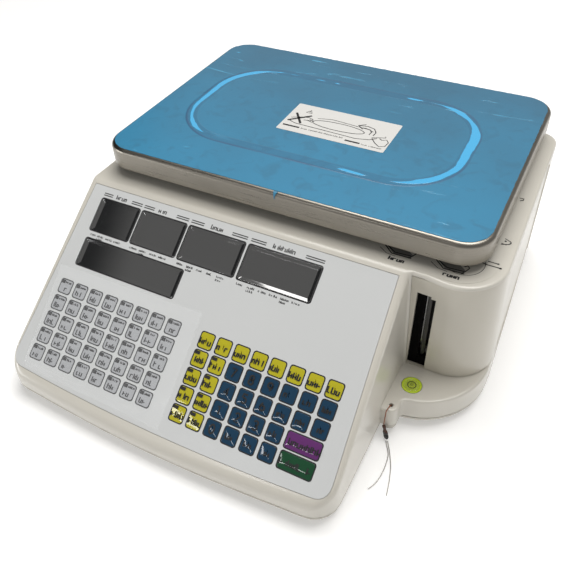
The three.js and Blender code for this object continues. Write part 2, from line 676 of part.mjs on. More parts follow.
const pitchRadius = (teeth) => (GEAR_MODULE * teeth) / 2;
const angleTo = ([x0, y0], [x1, y1]) => Math.atan2(y1 - y0, x1 - x0);
const GEAR_CLEARANCE = 0.15;

// The idler sits where it meshes with the motor pinion and the platen gear at once.
function idlerCentre() {
  const a = pitchRadius(MOTOR.teeth) + pitchRadius(IDLER_TEETH) + GEAR_CLEARANCE;
  const b = pitchRadius(PLATEN.teeth) + pitchRadius(IDLER_TEETH) + GEAR_CLEARANCE;
  const start = new THREE.Vector2(...MOTOR.centre);
  const end = new THREE.Vector2(...PLATEN.centre);
  const d = start.distanceTo(end);
  const along = (a * a - b * b + d * d) / (2 * d);
  const across = Math.sqrt(a * a - along * along);
  const { x, y } = end.clone().sub(start).normalize();
  return [start.x + x * along - y * across, start.y + y * along + x * across];
}

const PLATE_TOP = CHASSIS.bottom + CHASSIS.thickness;
const PLATEN_TOP = PLATEN.bottom + PLATEN.length;
const SHAFT_BOTTOM = CHASSIS.bottom - 1.5;

function tube(at, outer, inner, z0, z1, sides = 16) {
  return rod(at, outer, z0, z1, sides).subtract(rod(at, inner, z0 - 1, z1 + 1, sides));
}

function printerChassis(idler) {
  const { left, right, front, back, bottom, thickness, top } = CHASSIS;
  const standoffs = [
    [left + 8, front + 8], [right - 22, front + 12],
    [left + 8, back - 10], [right - 14, back - 10],
  ];
  const rivetedPins = [
    rod(idler, 2.5, bottom, GEAR_Z + GEAR_THICKNESS + 2),
    rod(HEAD.pivot, PIN_RADIUS, bottom, PLATEN_TOP + 4),
    rod(LEVER.pivot, PIN_RADIUS, bottom, PLATEN_TOP + 4),
    rod(GUIDE.centre, PIN_RADIUS, bottom, ROLL.bottom + GUIDE.length + 3),
  ];
  const frame = join(
    box([left, front, bottom], [right, back, PLATE_TOP]),
    box([left, front, bottom], [left + thickness, back, top]),
    ...standoffs.map((at) => rod(at, 4, TRAY_TOP + GAP, bottom + 1, 12)),
    ...rivetedPins,
  );
  const spindleHoles = [PLATEN.centre, ROLL.centre, TAKEUP.centre]
    .map((at) => rod(at, SHAFT_RADIUS + GAP, bottom - 1, PLATE_TOP + 1, 16));
  return cut(frame, ...spindleHoles).intersect(bodySolid(FOOT_HEIGHT, DECK_Z, WALL + 1.5));
}

// The motor drives the platen through the idler; each phase puts a tooth into the gap it meets.
function drive(idler) {
  const idlerPhase = angleTo(idler, MOTOR.centre) + Math.PI / IDLER_TEETH;
  const toPlaten = angleTo(idler, PLATEN.centre);
  const idlerTooth = ((toPlaten - idlerPhase) * IDLER_TEETH) / (2 * Math.PI);
  const platenPhase = toPlaten + Math.PI + ((idlerTooth * 2 + 1) * Math.PI) / PLATEN.teeth;
  const bore = SHAFT_RADIUS + 0.05;
  part('platen_shaft', rod(PLATEN.centre, SHAFT_RADIUS, SHAFT_BOTTOM, PLATEN_TOP + 4), zincSteel);
  const roller = tube(PLATEN.centre, PLATEN.radius, bore, PLATEN.bottom, PLATEN_TOP, 24);
  part('platen_roller', roller, blackRubber);
  part('platen_gear', gear(PLATEN.centre, PLATEN.teeth, platenPhase, GEAR_Z, bore), gearPlastic);
  part('idler_gear', gear(idler, IDLER_TEETH, idlerPhase, GEAR_Z, 2.6), gearPlastic);
  const motorBottom = GEAR_Z + GEAR_THICKNESS + 2.5;
  const pinion = join(
    gear(MOTOR.centre, MOTOR.teeth, angleTo(MOTOR.centre, idler), GEAR_Z, 1),
    rod(MOTOR.centre, 2.5, GEAR_Z - 1, motorBottom - GAP),
  );
  part('motor_pinion', pinion, gearPlastic);
  const [mx, my] = MOTOR.centre;
  const half = MOTOR.size / 2;
  const can = roundedRectangle([mx - half, my - half], [mx + half, my + half], 5);
  part('stepper_motor', prism(can, motorBottom, motorBottom + MOTOR.height, 2), blackPlastic);
}

// The print head on its swinging carrier, and the lever whose cam lifts it off the platen.
function printHead() {
  const y = PLATEN.centre[1];
  const headRight = PLATEN.centre[0] - PLATEN.radius - GAP;
  const headLeft = headRight - HEAD.thickness;
  const head = box([headLeft, y - HEAD.front, PLATEN.bottom - 1], [headRight, y + HEAD.back, PLATEN_TOP + 1]);
  part('thermal_head', head, zincSteel);
  const carrierLeft = headLeft - HEAD.thickness - GAP;
  const carrier = join(
    box([carrierLeft, y - HEAD.front, PLATEN.bottom], [headLeft - GAP, HEAD.pivot[1], PLATEN_TOP]),
    rod(HEAD.pivot, HEAD.boss, PLATEN.bottom, PLATEN_TOP, 16),
  ).subtract(rod(HEAD.pivot, PIN_RADIUS + RUNNING_FIT, PLATEN.bottom - 1, PLATEN_TOP + 1));
  part('head_carrier', carrier, castAluminium);
  const [px, py] = LEVER.pivot;
  const [handleWidth, handleLength] = LEVER.handle;
  const [camLength, camWidth] = LEVER.cam;
  const lowest = PLATEN_TOP - LEVER.camDepth;
  const gripTop = PLATEN_TOP + 3;
  const lever = join(
    rod(LEVER.pivot, LEVER.boss, lowest, gripTop, 20),
    box([px - handleWidth / 2, py, gripTop - LEVER.grip], [px + handleWidth / 2, py + handleLength, gripTop]),
    box([px, py - camWidth / 2, lowest], [px + camLength, py + camWidth / 2, PLATEN_TOP - 4]),
  ).subtract(rod(LEVER.pivot, PIN_RADIUS + RUNNING_FIT, lowest - 1, PLATEN_TOP + 4));
  part('head_lever', lever, leverPlastic);
}

function spindle(name, centre, radius, length, flangeRadius) {
  const bottom = ROLL.bottom - 3;
  const solid = join(
    rod(centre, SHAFT_RADIUS, SHAFT_BOTTOM, bottom + 1),
    rod(centre, radius, bottom, bottom + length, 24),
    rod(centre, flangeRadius, bottom, bottom + 2, 24),
  );
  part(name, solid, blackPlastic);
}

function labelPath() {
  spindle('supply_spindle', ROLL.centre, ROLL.core - 1, ROLL.length + 6, 30);
  const roll = tube(ROLL.centre, ROLL.radius, ROLL.core, ROLL.bottom, ROLL.bottom + ROLL.length, 48);
  part('label_roll', roll, labelPaper);
  spindle('takeup_spindle', TAKEUP.centre, TAKEUP.radius, TAKEUP.length, 24);
  const guideTop = ROLL.bottom + GUIDE.length;
  const guide = tube(GUIDE.centre, GUIDE.radius, PIN_RADIUS + RUNNING_FIT, ROLL.bottom, guideTop, 20);
  part('guide_roller', guide, gearPlastic);
  const { left, right, footRight, front, back } = PEEL_BAR;
  const peelBar = join(
    box([left, front, PLATE_TOP + GAP], [right, back, PLATEN_TOP]),
    box([left, front, PLATE_TOP + GAP], [footRight, back, PLATE_TOP + 3]),
  );
  part('peel_bar', peelBar, brushedSteel);
}

function printer() {
  const idler = idlerCentre();
  part('printer_chassis', printerChassis(idler), zincSteel);
  drive(idler);
  printHead();
  labelPath();
}

// ---------------------------------------------------------------- electronics and rear panel
const REAR_FACE = REAR.face - 3.5;

// A box in the rear wall, open to the back, with a flange behind the wall.
function socket({ x, z, width, height }, depth, wall, flange) {
  const block = (grow, y0, y1) => box(
    [x - width / 2 - grow, y0, z - height / 2 - grow], [x + width / 2 + grow, y1, z + height / 2 + grow],
  );
  return cut(
    join(block(0, REAR_FACE - depth, REAR_FACE + 1), block(flange, REAR_FACE - 4.8, REAR_FACE - 3)),
    block(-wall, REAR_FACE - depth + wall, REAR_FACE + 5),
  );
}

function powerSwitch() {
  part('power_switch_frame', socket(REAR.switch, 13, 1.5, 2), blackPlastic);
  const { halfWidth, halfDepth, bottom, pressed, centre, raised } = ROCKER;
  const profile = new THREE.Shape([
    new THREE.Vector2(-halfWidth, bottom),
    new THREE.Vector2(halfWidth, bottom),
    new THREE.Vector2(halfWidth, pressed),
    new THREE.Vector2(0, centre),
    new THREE.Vector2(-halfWidth, raised),
  ]);
  const geometry = new THREE.ExtrudeGeometry(profile, { depth: 2 * halfDepth, bevelEnabled: false });
  geometry.translate(REAR.switch.x, REAR_FACE - 2, REAR.switch.z - halfDepth);
  part('power_switch_rocker', toSolid(geometry), blackPlastic);
}

function electronics() {
  const { min, max, standoff, inset } = MAIN_BOARD;
  const standoffs = [min[0] + inset, max[0] - inset].flatMap((x) => [min[1] + inset, max[1] - inset]
    .map((y) => rod([x, y], standoff, TRAY_TOP + GAP, min[2] + 1, 10)));
  const board = join(box(min, max), ...BOARD_PARTS.map((item) => box(item.min, item.max)), ...standoffs);
  part('main_board', board, circuitBoard);
  const supply = box([...POWER_SUPPLY.min, TRAY_TOP + GAP], [...POWER_SUPPLY.max, POWER_SUPPLY.top]);
  part('power_supply', supply, zincSteel);
  part('mains_inlet', socket(REAR.inlet, 14, 2, 3), blackPlastic);
  part('network_port', socket(REAR.network, 12, 1.5, 1.5), zincSteel);
  part('serial_port', socket(REAR.serial, 10, 1.5, 4), zincSteel);
  powerSwitch();
  const { x0, x1, z0, z1 } = REAR.display;
  const window = box([x0 + GAP, REAR_FACE - 3.5, z0 + GAP], [x1 - GAP, REAR_FACE - 1.5, z1 - GAP]);
  part('customer_window', window, windowPlastic);
  const module = box([x0 + 8, REAR_FACE - 10, z0 + 5], [x1 - 8, REAR_FACE - 6, z1 - 5]);
  part('customer_display', module, displayGlass);
}

// ---------------------------------------------------------------- level and seal
// The sealing wire goes down into the tab's hole, over the tab's front edge, through the crimped
// seal, and its two tails lie on the counter.
const WIRE_DIAMETER = 0.8;
const WIRE_STEP = 3 * WIRE_DIAMETER;
const SEAL = { top: [129.8, -106.1, 14.4], bottom: [134.9, -110.3, 2.4], halfWidth: 2.4, halfThickness: 1.2 };
const SEAL_WIRE_ROUTES = {
  seal_wire: [
    [131.7, -96.9, 20], [131.7, -96.9, 26], [131.7, -96.9, 31.2], [131.6, -97.4, 32.4], [131.4, -98.6, 32.9],
    [130.9, -100.8, 32.8], [130.5, -103.1, 32.9], [130.3, -104.3, 32.4], [130.1, -104.8, 31.2],
    [129.9, -104.9, 27], [129.7, -105, 22], [129.6, -105.4, 18], [129.7, -105.9, 15],
  ],
  seal_tail_left: [
    [134.7, -111.3, 1.7], [135.6, -112.8, 0.9], [137, -115.1, 0.5], [139, -118.4, 0.5], [140.8, -122, 0.5],
    [141.8, -126, 0.5], [142.4, -131, 0.5], [142.7, -137, 0.5], [142.5, -143, 0.5], [141.6, -149, 0.5],
    [140, -154, 0.5], [137.8, -158.4, 0.5],
  ],
  seal_tail_right: [
    [136, -110.7, 1.7], [136.9, -112.1, 0.9], [138.2, -114.3, 0.5], [140.1, -117.6, 0.5], [142, -121.4, 0.5],
    [144, -125.6, 0.5], [146, -130, 0.5], [148, -136, 0.5], [149.9, -143, 0.5], [151.4, -150, 0.5],
    [152.8, -157.3, 0.5],
  ],
};

function wire(points) {
  const curve = new THREE.CatmullRomCurve3(points.map((p) => new THREE.Vector3(...p)), false, 'centripetal');
  const section = new THREE.Shape();
  section.absarc(0, 0, WIRE_DIAMETER / 2, 0, 2 * Math.PI);
  const steps = Math.round(curve.getLength() / WIRE_STEP);
  return toSolid(new THREE.ExtrudeGeometry(section, { extrudePath: curve, steps, curveSegments: 4 }));
}

function sealBody() {
  const top = new THREE.Vector3(...SEAL.top);
  const bottom = new THREE.Vector3(...SEAL.bottom);
  const along = top.clone().sub(bottom);
  const geometry = new THREE.CylinderGeometry(1, 1, along.length(), 10);
  geometry.scale(SEAL.halfWidth, 1, SEAL.halfThickness);
  const up = along.clone().normalize();
  const thin = new THREE.Vector3(0, 1, 0).addScaledVector(up, -up.y).normalize();
  const wide = new THREE.Vector3().crossVectors(up, thin);
  geometry.applyMatrix4(new THREE.Matrix4().makeBasis(wide, up, thin));
  geometry.translate(...top.add(bottom).multiplyScalar(0.5).toArray());
  return toSolid(geometry);
}

function levelAndSeal() {
  const { centre, radius } = LEVEL;
  part('level_cup', cut(
    rod(centre, radius, FLANGE_Z - 1.6, FLANGE_Z + 0.4, 24),
    rod(centre, radius - 1.6, FLANGE_Z - 0.8, FLANGE_Z + 1, 24),
  ), levelLiquid);
  part('level_lens', rod(centre, radius - 2, FLANGE_Z - 0.5, FLANGE_Z + 0.3, 24), levelLens);
  part('seal_body', sealBody(), sealPlastic);
  for (const [name, points] of Object.entries(SEAL_WIRE_ROUTES)) {
    part(name, wire(points), sealWire);
  }
}

// ---------------------------------------------------------------- assembly
part('base_tray', baseTray(), trayPlastic);
part('top_housing', topHousing(), shellPlastic);
part('printer_door', printerDoor(), shellPlastic);
part('door_hinge_pin', alongHinge(HINGE_PIN_RADIUS, FLANGE_Z - 1.8, DECK_Z - 1.8), zincSteel);
part('deck_label', sticker(DECK_LABEL, DECK_Z), labelPaper);
feet();
frontPanel();
loadCell();
platform();
platterPan();
printer();
electronics();
levelAndSeal();

export default group;
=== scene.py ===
import json
import math
import random
from collections import namedtuple

import bmesh
import bpy
from mathutils import Matrix, Vector


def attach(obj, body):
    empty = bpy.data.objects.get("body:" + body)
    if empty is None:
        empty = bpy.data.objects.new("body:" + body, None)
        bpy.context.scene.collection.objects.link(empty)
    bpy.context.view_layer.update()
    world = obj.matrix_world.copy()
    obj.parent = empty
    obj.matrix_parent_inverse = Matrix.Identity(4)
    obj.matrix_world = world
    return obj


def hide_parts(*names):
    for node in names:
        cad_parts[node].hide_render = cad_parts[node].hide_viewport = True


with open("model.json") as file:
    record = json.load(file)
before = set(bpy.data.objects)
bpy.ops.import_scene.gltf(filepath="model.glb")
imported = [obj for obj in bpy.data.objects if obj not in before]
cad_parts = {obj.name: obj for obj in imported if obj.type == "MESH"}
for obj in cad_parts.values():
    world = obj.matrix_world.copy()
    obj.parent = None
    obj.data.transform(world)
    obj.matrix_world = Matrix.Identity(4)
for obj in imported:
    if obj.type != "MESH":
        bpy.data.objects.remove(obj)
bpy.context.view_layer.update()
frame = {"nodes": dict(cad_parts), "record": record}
MM = 0.001

# ---------------------------------------------------------------- dimensions, in the CAD frame's axes
# Levels of the case, from its feet up. Walls lean in by DRAFT for each millimetre above FOOT_HEIGHT.
FOOT_HEIGHT = 8
CASE_BOTTOM = 11.3
BOTTOM_CHAMFER = 0.8
BOTTOM_TUCK = 0.7
DRAFT = 0.045
WALL = 3
GAP = 0.3
FLANGE_TOP = 32
DECK = 136.2
SHOULDER = DECK - WALL

# Plan of the case at foot height. The console is the narrower part in front of the deck.
HALF_WIDTH = 194
BACK = 207.5
BACK_CORNER = 18
REAR_RIGHT = 185
BAY_FRONT = -49.8
BAY_CORNER = 37.5
CONSOLE_RIGHT = 125.9
CONSOLE_FRONT = -207
CONSOLE_CORNER = 23
CONSOLE_BOW = 6
CONSOLE_EDGE = 4.6
DECK_EDGE = 2.6
CORNER_FILLET = 3
DECK_LIP = 3.2
LIP_LENGTH = 22
LIP_END = 80

# The low flange: part of an ellipse, with the sealing tab standing out of its front.
FLANGE_CENTRE = (132, -24)
FLANGE_REACH = (62, 65)
FLANGE_EDGE = 2.4
FLANGE_ROOT = 116
TAB_CENTRE = (131, -97)
TAB_RADIUS = 7
TAB_FILLET = 4

# The sloping panel: SLOPE is where its own coordinates start.
TILT = math.radians(35.58)
SLOPE = Vector((-151, -187, 38.8))
SLOPE_WALL = 4.9
OVERLAY_DEPTH = 0.8
PRINT_LIFT = 0.05

# The printer door, with its slot given as (x, z), and its hinge, whose axis leans with the wall.
DOOR_LEFT = 127.9
DOOR_BOTTOM = 32.6
DOOR_TOP = 132.4
DOOR_WALL = 2.6
BARREL_RADIUS = 2.2
PIN_HOLE_RADIUS = 1.15
POCKET_RADIUS = 2.6
LABEL_SLOT = [(127.3, 33.6), (143.1, 33.6), (143.6, 114.6), (139.7, 114.6), (139.7, 117), (128.2, 117.6)]
SIDE_START = BAY_FRONT + BAY_CORNER
HINGE_Y = 150
HINGE_SHARE = (HINGE_Y - SIDE_START) / (BACK - BACK_CORNER - SIDE_START)
HINGE_LEAN = DRAFT * (1 - HINGE_SHARE)
HINGE = Vector((HALF_WIDTH + (REAR_RIGHT - HALF_WIDTH) * HINGE_SHARE - DOOR_WALL / 2, HINGE_Y, FOOT_HEIGHT))

# Flat pieces as (x0, y0, x1, y1).
PLATTER = (-183, -38, 173, 213)
PLATTER_CORNER = 26
PLATTER_TOP = 164.75
PLATTER_SKIRT = 20
PLATTER_SHEET = 1.2
PLATTER_ROLL = 4.2
FILM = (-179.6, -34.6, 169.6, 209.6)
FILM_CORNER = 22.6
FILM_TOP = 165.05
PLATTER_LABEL = (-50.5, 54.7, 55.4, 105.9)
LABEL_TOP = 165.35
DECK_LABEL = (80, -47.4, 180, 52)
DECK_LABEL_CORNER = 30
POST_HOLE = (-27, 20.5, 17, 64.5)
POST_HOLE_CORNER = 6
FAR_RIGHT = 250

# Display windows on the panel as (u0, u1, v0, v1).
WINDOWS = {
    "display_window_tare": (-17.4, 25.3, 120.1, 151.3),
    "display_window_weight": (27.9, 75.2, 120.1, 151.3),
    "display_window_unit_price": (78, 134, 120.1, 151.3),
    "display_window_total": (137.3, 204.9, 120.1, 151.3),
    "display_window_message": (-16.6, 88.9, 86.5, 112.4),
}

# Each opening in the back as its middle's x and z, its width and its height.
REAR_OPENINGS = (
    (0, 89, 219.4, 45.4), (-150, 38, 27, 19), (-110, 38, 21, 14), (-60, 36, 16, 13.5), (-25, 36, 19, 11),
)
LEVEL = (139.8, -70.5)
LEVEL_RADIUS = 8.5
TAB_HOLE = (131.6, -97.3)
TAB_HOLE_RADIUS = 1.6

# A place in the plan of a wall: where it stands at foot height, which way it faces, how it moves in with
# the draft, how large the round at its top is, and how far that top stands out.
Column = namedtuple("Column", "point normal shift edge lip")


# ---------------------------------------------------------------- camera
EYE = Vector((215.963, -418.856, 473.825))
EYE_RIGHT = Vector((0.88931, 0.45649, -0.02737))
EYE_DOWN = Vector((0.29217, -0.61319, -0.73392))
EYE_FORWARD = Vector((-0.35180, 0.64468, -0.67869))
SENSOR_WIDTH = 36
FOCAL_LENGTH = 40.923
LENS_SHIFT = (-0.00168, -0.0138)


def camera():
    """The photographer's place: above, in front and to the right of the scale."""
    lens = bpy.data.cameras.new("camera")
    lens.sensor_width = SENSOR_WIDTH
    lens.lens = FOCAL_LENGTH
    lens.shift_x, lens.shift_y = LENS_SHIFT
    lens.clip_start = 0.01
    turn = Matrix((EYE_RIGHT, -EYE_DOWN, -EYE_FORWARD)).transposed()
    holder = bare_object("camera", lens)
    holder.matrix_world = Matrix.Translation(EYE * MM) @ turn.to_4x4()
    bpy.context.scene.camera = holder


# ---------------------------------------------------------------- mesh building
class Solid:
    """Faces gathered in millimetres. Each face has a mark, the index of its material."""

    def __init__(self):
        self.points = []
        self.faces = []
        self.marks = []

    def ring(self, points):
        """Adds points and gives their numbers."""
        first = len(self.points)
        self.points.extend(Vector(p) for p in points)
        return list(range(first, len(self.points)))

    def face(self, corners, mark=0):
        self.faces.append(tuple(corners))
        self.marks.append(mark)

    def bridge(self, first, second, closed=True, mark=0):
        """Four-sided faces between two rings, or two open rows, of equal length."""
        count = len(first)
        for i in range(count if closed else count - 1):
            j = (i + 1) % count
            self.face((first[i], first[j], second[j], second[i]), mark)

    def loft(self, rings):
        """A closed skin through rings of equal length, capped at both ends."""
        rows = [self.ring(points) for points in rings]
        for lower, upper in zip(rows, rows[1:]):
            self.bridge(lower, upper)
        self.face(reversed(rows[0]))
        self.face(rows[-1])

    def lathe(self, centre, profile, sides=40):
        """A round piece about the vertical through centre, from (radius, height) pairs."""
        cx, cy = centre
        self.loft([[(cx + r * c, cy + r * s, z) for c, s in circle(sides)] for r, z in profile])

    def rounded_bar(self, box, low, high, cut, corner, steps):
        """An upright bar over a rounded rectangle, with both ends chamfered by cut."""
        x0, y0, x1, y1 = box
        self.loft([
            [(x, y, z) for x, y in rounded(x0 + inset, y0 + inset, x1 - inset, y1 - inset, corner, steps)]
            for inset, z in ((cut, low), (0, low + cut), (0, high - cut), (cut, high))
        ])

    def mesh(self, name, outward=True):
        """The Blender mesh. With outward, its faces are turned to point out of the solid."""
        mesh = bpy.data.meshes.new(name)
        mesh.from_pydata([p * MM for p in self.points], [], self.faces)
        mesh.polygons.foreach_set("material_index", self.marks)
        if outward:
            work = bmesh.new()
            work.from_mesh(mesh)
            bmesh.ops.recalc_face_normals(work, faces=work.faces)
            work.to_mesh(mesh)
            work.free()
        return mesh


def lofted(rings):
    """A solid that is one closed skin through the rings."""
    solid = Solid()
    solid.loft(rings)
    return solid


def circle(sides):
    return [(math.cos(2 * math.pi * i / sides), math.sin(2 * math.pi * i / sides)) for i in range(sides)]


def rounded(x0, y0, x1, y1, radius, steps=6):
    """A rounded rectangle, anticlockwise, as (x, y) pairs."""
    corners = [
        (x1 - radius, y0 + radius, -90), (x1 - radius, y1 - radius, 0),
        (x0 + radius, y1 - radius, 90), (x0 + radius, y0 + radius, 180),
    ]
    return [
        (cx + radius * math.cos(math.radians(start + 90 * i / steps)),
         cy + radius * math.sin(math.radians(start + 90 * i / steps)))
        for cx, cy, start in corners
        for i in range(steps + 1)
    ]


def upright(x, y, z):
    """The placing function of a level outline."""
    return Vector((x, y, z))


def panel(u, v, w=0.0):
    """A point given in the sloping panel's own coordinates: across, up the slope, and off its face."""
    return Vector((
        SLOPE.x + u,
        SLOPE.y + v * math.cos(TILT) - w * math.sin(TILT),
        SLOPE.z + v * math.sin(TILT) + w * math.cos(TILT),
    ))


def bare_object(name, data):
    """A new object in the scene, with no finish yet."""
    item = bpy.data.objects.new(name, data)
    bpy.context.collection.objects.link(item)
    return item


def carve(target, solids, operation):
    """Applies exact booleans with the given solids to the target's mesh."""
    for number, solid in enumerate(solids):
        tool = bare_object(f"tool_{number}", solid.mesh("tool"))
        step = target.modifiers.new("carve", "BOOLEAN")
        step.operation = operation
        step.solver = "EXACT"
        step.object = tool
        done = target.evaluated_get(bpy.context.evaluated_depsgraph_get())
        target.data = bpy.data.meshes.new_from_object(done)
        target.modifiers.clear()
        bpy.data.objects.remove(tool)


def finish_piece(item, body, finishes, stands_for=(), slot=None, sharp=35.0):
    """Shading, finish and body of a new piece."""
    mesh = item.data
    mesh.materials.clear()
    for finish in finishes:
        mesh.materials.append(FINISH[finish])
    mesh.shade_smooth()
    mesh.set_sharp_from_angle(angle=math.radians(sharp))
    weighted = item.modifiers.new("weighted", "WEIGHTED_NORMAL")
    weighted.keep_sharp = True
    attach(item, body)
    if stands_for:
        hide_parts(*stands_for)
    slot or finishes[0]
    return item


def piece(name, solid, body, finishes, outward=True, **options):
    """A new visible piece made from a solid."""
    return finish_piece(bare_object(name, solid.mesh(name, outward)), body, finishes, **options)


# ---------------------------------------------------------------- materials
FINISH = {}


class Finish:
    """A short way to write a node material, kept in FINISH. Most methods add nodes and give an output."""

    def __init__(self, name):
        material = bpy.data.materials.new(name)
        material.use_nodes = True
        FINISH[name] = material
        self.tree = material.node_tree
        self.shader = self.tree.nodes["Principled BSDF"]
        self.place = self.node("ShaderNodeTexCoord").outputs["Object"]

    def node(self, kind, inputs=None, **settings):
        made = self.tree.nodes.new(kind)
        for key, value in settings.items():
            setattr(made, key, value)
        for key, value in (inputs or {}).items():
            self.feed(made.inputs[key], value)
        return made

    def feed(self, socket, value):
        if isinstance(value, bpy.types.NodeSocket):
            self.tree.links.new(value, socket)
        else:
            socket.default_value = value

    def set(self, **values):
        for key, value in values.items():
            self.feed(self.shader.inputs[key.replace("_", " ")], value)

    def noise(self, scale, detail=3.0, roughness=0.5, stretch=(1, 1, 1), distortion=0.0):
        spot = self.node("ShaderNodeMapping", {"Vector": self.place, "Scale": stretch}).outputs["Vector"]
        look = {"Scale": scale, "Detail": detail, "Roughness": roughness, "Distortion": distortion}
        return self.node("ShaderNodeTexNoise", {"Vector": spot, **look}).outputs["Fac"]

    def maths(self, operation, first, second=0.0, clamp=False):
        values = {0: first, 1: second}
        return self.node("ShaderNodeMath", values, operation=operation, use_clamp=clamp).outputs[0]

    def vector(self, operation, first, second=(0, 0, 0), output=0):
        values = {0: first, 1: second}
        return self.node("ShaderNodeVectorMath", values, operation=operation).outputs[output]

    def scaled(self, value, low, high, start=0.0, end=1.0, smooth=False):
        """value between low and high, turned into start to end and held there."""
        kind = "SMOOTHSTEP" if smooth else "LINEAR"
        span = {"From Min": low, "From Max": high, "To Min": start, "To Max": end}
        ranged = self.node("ShaderNodeMapRange", {"Value": value, **span}, interpolation_type=kind)
        return ranged.outputs["Result"]

    def mix(self, factor, first, second):
        made = self.node("ShaderNodeMix", data_type="RGBA")
        self.feed(made.inputs[0], factor)
        self.feed(made.inputs[6], first)
        self.feed(made.inputs[7], second)
        return made.outputs[2]

    def axis(self, letter):
        return self.node("ShaderNodeSeparateXYZ", {"Vector": self.place}).outputs[letter]

    def bump(self, height, strength, distance):
        bumped = self.node("ShaderNodeBump", {"Height": height, "Strength": strength, "Distance": distance})
        self.feed(self.shader.inputs["Normal"], bumped.outputs["Normal"])


def shade(color, factor):
    """A lighter or darker shade of a colour, with the alpha that a socket wants."""
    return (*(min(1.0, part * factor) for part in color[:3]), 1.0)


def moulded(name, color, roughness, grain=0.08, size=220.0, spread=0.04, **sockets):
    """Moulded plastic, rubber, film or paper: faint colour drift, uneven gloss and a shallow texture."""
    finish = Finish(name)
    drift = finish.noise(14, detail=2)
    finish.set(Base_Color=finish.mix(drift, shade(color, 1 - spread), shade(color, 1 + spread)))
    gloss = finish.noise(40, detail=3)
    finish.set(Roughness=finish.scaled(gloss, 0.3, 0.7, roughness * 0.92, roughness * 1.08))
    finish.bump(finish.noise(size, detail=2), grain, 0.1 / size)
    finish.set(**sockets)


def metal(name, color, roughness, stretch=(1, 1, 1), scale=500, streak=0.12, bump=0.12, **sockets):
    """Bare metal: stretch draws the grain out along the axes with the small numbers."""
    finish = Finish(name)
    lines = finish.noise(scale, detail=4, roughness=0.65, stretch=stretch)
    cloud = finish.noise(16, detail=2)
    tone = finish.maths("MULTIPLY", finish.maths("ADD", lines, cloud), 0.5)
    finish.set(Base_Color=finish.mix(
        finish.scaled(tone, 0.3, 0.7), shade(color, 1 - streak), shade(color, 1 + streak),
    ))
    finish.set(Roughness=finish.scaled(lines, 0.25, 0.75, roughness * 0.75, roughness * 1.3))
    finish.bump(lines, bump, 0.0001)
    finish.set(Metallic=1.0, **sockets)


def see_through(name, color, alpha, roughness, wave=0.0, **sockets):
    """A clear moulding or film that shows what is under it."""
    finish = Finish(name)
    ripple = finish.noise(60, detail=2)
    finish.set(Base_Color=finish.mix(ripple, shade(color, 0.96), shade(color, 1.04)))
    finish.set(Roughness=finish.scaled(ripple, 0.3, 0.7, roughness * 0.7, roughness * 1.3))
    fine = finish.maths("MULTIPLY", finish.noise(220, detail=2), 0.3)
    finish.bump(finish.maths("ADD", ripple, fine), wave, 0.0004)
    finish.set(Alpha=alpha, **sockets)


def ring_distance(finish, centre, half_size, radius):
    """How far a point lies outside a rounded rectangle drawn on the platter, in metres."""
    inner = (half_size[0] - radius, half_size[1] - radius)
    moved = finish.vector("SUBTRACT", finish.place, (centre[0] * MM, centre[1] * MM, 0))
    past = finish.vector("SUBTRACT", finish.vector("ABSOLUTE", moved), (inner[0] * MM, inner[1] * MM, 1))
    length = finish.vector("LENGTH", finish.vector("MAXIMUM", past), output="Value")
    return finish.maths("SUBTRACT", length, radius * MM)


